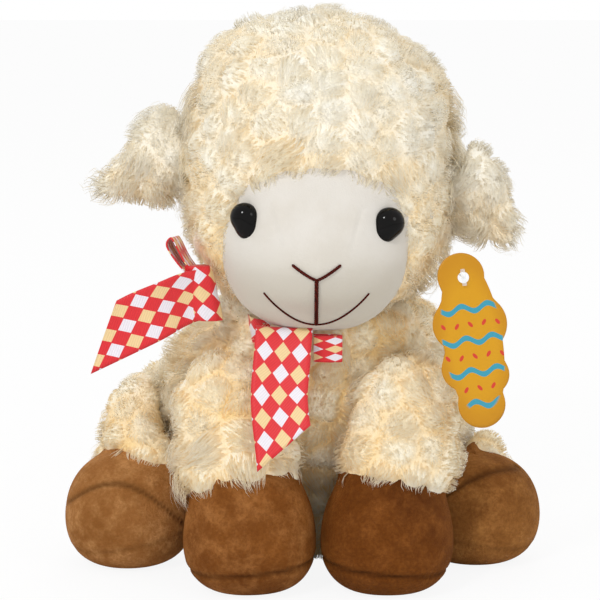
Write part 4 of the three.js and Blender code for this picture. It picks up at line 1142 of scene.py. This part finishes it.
cell = 1.9 * mm  # of the backing
limbSettings = {  # where the skin's middle line runs, its smoothing, and how far along the limb the sewn joint bends
    "ear": {"span": (0.1, 0.95), "smoothing": 3, "bends": (-3, 12)},
    "leg": {"span": (0, 1), "smoothing": 20, "bends": (-8, 22)},
    "tail": {"span": (0.1, 0.9), "smoothing": 14, "bends": (-4, 12)},
}
legNames = [f"{end}_{side}_leg" for end in ("front", "rear") for side in ("left", "right")]
locks = {  # longer pile round some places: how much more, and its reach in millimetres
    "head": [  # where the ears' roots join the head
        (at(-60, -22, 212), 1.6, 14), (at(-59, -26, 182), 1.5, 13), (at(-57, -30, 164), 1.0, 11),
        (at(60, -24, 203), 1.8, 14), (at(60, -28, 184), 1.0, 12), (at(58, -34, 158), 1.5, 13),
        (at(52, -38, 142), 1.2, 12),
    ],
    "torso": [(at(-66, -36, 98), 1.6, 17), (at(-60, -45, 78), 0.8, 14)],
    "left_ear": [(at(-69, -24, 171), 1.4, 9), (at(-66, -20, 208), 1.0, 10), (at(-86, -24, 170), 0.5, 9)],
    "right_ear": [(at(64, -26, 196), 1.3, 10), (at(66, -32, 152), 1.0, 11), (at(88, -36, 156), 0.4, 9)],
    "front_left_leg": [(at(-62, -66, 52), 1.3, 12)],
    "front_right_leg": [(at(6, -70, 52), 0.7, 10), (at(62, -62, 50), 0.8, 10)],
    "rear_left_leg": [], "rear_right_leg": [], "tail": [],
}
bareBow = {"beside": -46 * mm, "near": 10 * mm}  # no pile this near the bow, where it is left of the chin
crown = {"corners": (at(-42, -30, 238), at(56, -30, 222)), "fuller": 1.1, "reach": 17 * mm}  # squarer than the stuffing
# the outer upper corner hangs lower than its pattern: side, height of the corner, longer pile at the tip
earTrims = {"left_ear": (-1, 0.199, 0.7), "right_ear": (1, 0.181, 0)}
hems = {  # the pile's lower edge over the front of each hoof: its middle, its height at the sides, its rise
    "front_left_leg": (-20, 37, 17), "front_right_leg": (34, 38, 13), "rear_left_leg": (-92, 32, 6),
    "rear_right_leg": (78, 30, 6),
}


def skinFor(names, start, end, smoothing=20):
    start, end = Vector(start), Vector(end)
    axis, (low, high) = (end - start).normalized(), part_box(names[0])
    size = high - low
    along = sum(abs(axis[k]) * size[k] for k in range(3))
    girth = math.pi * (size.x + size.y + size.z - along) / 2
    return Skin(names, start, end, int((along + girth / 4) / cell), int(girth / cell), smoothing)


def makeSkins():
    low, high, middle, _ = boxOf("head_cover")
    skins = {"head": skinFor(["head_cover", "head_stuffing", "face_panel"], (middle.x, middle.y, low.z + 55 * mm),
                             (middle.x, middle.y + 4 * mm, high.z - 58 * mm))}
    _, high, middle, _ = boxOf("torso_cover")
    skins["torso"] = skinFor(["torso_cover", "torso_stuffing", "seat_pellet_bag"], (0, middle.y + 4 * mm, 42 * mm),
                             (0, middle.y - 8 * mm, high.z - 45 * mm))
    for name in ["left_ear", "right_ear", *legNames, "tail"]:
        say = limbSettings[name.split("_")[-1]]
        points = pointsOf(name)
        away = np.linalg.norm(points - jointPlace(name), axis=1)
        root, tip = points[away < np.quantile(away, 0.2)].mean(0), points[away > np.quantile(away, 0.8)].mean(0)
        nodes = [name, f"{name}_stuffing"] if name in legNames else [name]
        skins[name] = skinFor(nodes, *(root + (tip - root) * share for share in say["span"]), say["smoothing"])
    return skins


def makeFur(hooves):
    finishes = (backingFinish(furColours), pileFinish(furColours))
    skins = makeSkins()
    holders = {name: Holder(skin.points(), skin.faces) for name, skin in skins.items()}

    def within(points, names, depth):
        return np.any([holders[name].holds(points, depth) for name in names], axis=0)

    def dress(name, nodes, bald, keep=None, down=0.5, **changes):
        longer = lambda points: 1 + sum(more * bell(np.linalg.norm(points - place, axis=1), reach * mm)
                                        for place, more, reach in locks[name])
        look = {**furLook, "comb": lambda points: np.tile([0, 0, -down], (len(points), 1)), "longer": longer, **changes}
        backing, pile = growFur(name, skins[name], look, keep, bald)
        body, limb, ahead = "toy", None, skins[name].ahead
        if name not in ("head", "torso"):
            bends = limbSettings[name.split("_")[-1]]["bends"]
            body, limb = name, [tuple(jointPlace(name) + ahead * along * mm) for along in bends]
        for piece, finish in zip((backing, pile), finishes):
            settle(piece, body, finish, "shaggy_pile", *nodes, limb=limb)
        print("fur", name, len(pile.data.polygons) // len(strandFaces), "strands")

    def fromRoot(name, places, shares):  # how deep the backing lies, by the way along a limb in millimetres
        return lambda p: np.interp((p - skins[name].root) @ skins[name].ahead / mm, places, shares)

    def headComb(points):  # down from the crown, and off the face at its edge
        flow = np.tile([0, 0, -0.4], (len(points), 1))
        flow[:, 0] += np.sign(points[:, 0]) * 0.1
        flow[:, 1] -= np.clip((points[:, 2] - 0.19) / 0.05, 0, 1) * 0.25
        return flow

    def headFullness(points):
        return 1 - sum(crown["fuller"] * bell(np.linalg.norm(points - corner, axis=1), crown["reach"])
                       for corner in crown["corners"])

    def headWarmthAndShade(points):  # nearly white on the crown, cream at the sides and near the face; painted light from above, the lower head painted darker as shade
        fall = np.clip((0.24 - points[:, 2]) / 0.09, 0, 1)
        return 0.1 + 0.3 * fall + 0.2 * np.clip(np.abs(points[:, 0]) / 0.062, 0, 1) * fall

    def torsoWarmthAndShade(points):  # warmest on the chest, partly painted shade under the head, and between the front legs, painted shade
        front = np.clip(-points[:, 1] / 0.06, 0, 1)
        return 0.5 + 0.45 * front + 1.2 * bell(points[:, 0], 0.02) * np.clip((0.09 - points[:, 2]) / 0.03, 0, 1) * front

    def atBow(points):  # no pile stands up through the bow
        parts = ("bow_tail_left", "bow_loop_cheek")
        tree = kdOf(np.vstack([smoothLine(bowSettings[part]["line"], 40) for part in parts]))
        return np.array([point[0] < bareBow["beside"] and tree.find(point)[2] < bareBow["near"] for point in points])

    def atJaw(points):
        return (faceShare(points) < 0.93) & (jawShare(points) > 0.5) & ~behindFace(points)

    dress("head", ["head_cover", "head_stuffing"], lambda p: within(p, ["torso"], 6 * mm) | atBow(p) | atJaw(p),
          outsideFace, comb=headComb, seed=7, warm=headWarmthAndShade, beside=besideFace, shallow=headFullness)
    dress("torso", ["torso_cover", "torso_stuffing"],
          lambda p: within(p, [*legNames, "tail"], 5 * mm) | within(p, ["head"], 2 * mm),
          down=0.45, warm=torsoWarmthAndShade, seed=17)

    for name, (sign, cornerZ, tipLonger) in earTrims.items():
        skin, swollen = skins[name], fromRoot(name, [-4, 6, 20], [-1.6, -1.1, 1])
        locks[name].insert(0, (skin.tip, tipLonger, 12))
        dress(name, [name], lambda p: within(p, ["head"], 7 * mm),
              comb=lambda p: skin.ahead * 0.3 - (0, 0, 0.35) + np.zeros((len(p), 1)), seed=23,
              deep=3.8 * mm, rise=2 * mm, spacing=8 * mm, length=7.6 * mm, perSquareMm=0.75, stand=0.28, curl=0.12,
              warm=lambda p: 0.1,
              shallow=lambda p: np.minimum(swollen(p) + np.clip((p[:, 2] - skin.root[2]) / (14 * mm), 0, 1.6), 1),
              beside=lambda p: np.clip(((p[:, 0] * sign - 0.079) + (p[:, 2] - cornerZ) * 1.1) / 0.013, 0, 1)
              * np.clip((p[:, 0] * sign - 0.07) / 0.008, 0, 1))

    for name in legNames:
        def aboveHem(p, more, own=hems[name]):
            middle, height, rise = own
            return p[:, 2] > (height + rise * bell(p[:, 0] / mm - middle, 19) + more) * mm

        front = "front" in name
        dress(name, [name, f"{name}_stuffing"],
              lambda p: hooves[name].holds(p, 0) | ~aboveHem(p, 4.0 if front else 2.0) | within(p, ["torso"], 12 * mm),
              (lambda p: aboveHem(p, -2.0)) if front else None,
              seed=31 + len(name), warm=lambda p: 0.7, perSquareMm=0.7,
              shallow=fromRoot(name, [0, 12, 26], [-0.1, 0.2, 1]))
    dress("tail", ["tail"], lambda p: within(p, ["torso"], 7 * mm), seed=41, spacing=6.5 * mm, perSquareMm=0.9)


# the whole lamb

setCamera(cameraSettings)
setStage(stageSettings)
faceTree = makeFace(faceSettings)
makeEyes(eyeSettings)
makeStitches(stitchSettings)
print("face")
hooves = {name: makeHoof(name.removesuffix("_leg"), hoofSettings) for name in legNames}
print("hooves")
makeRibbon(ribbonSettings, bowSettings)
finishInside(makeTag(tagSettings))
print("ribbon and tag")
makeFur(hooves)
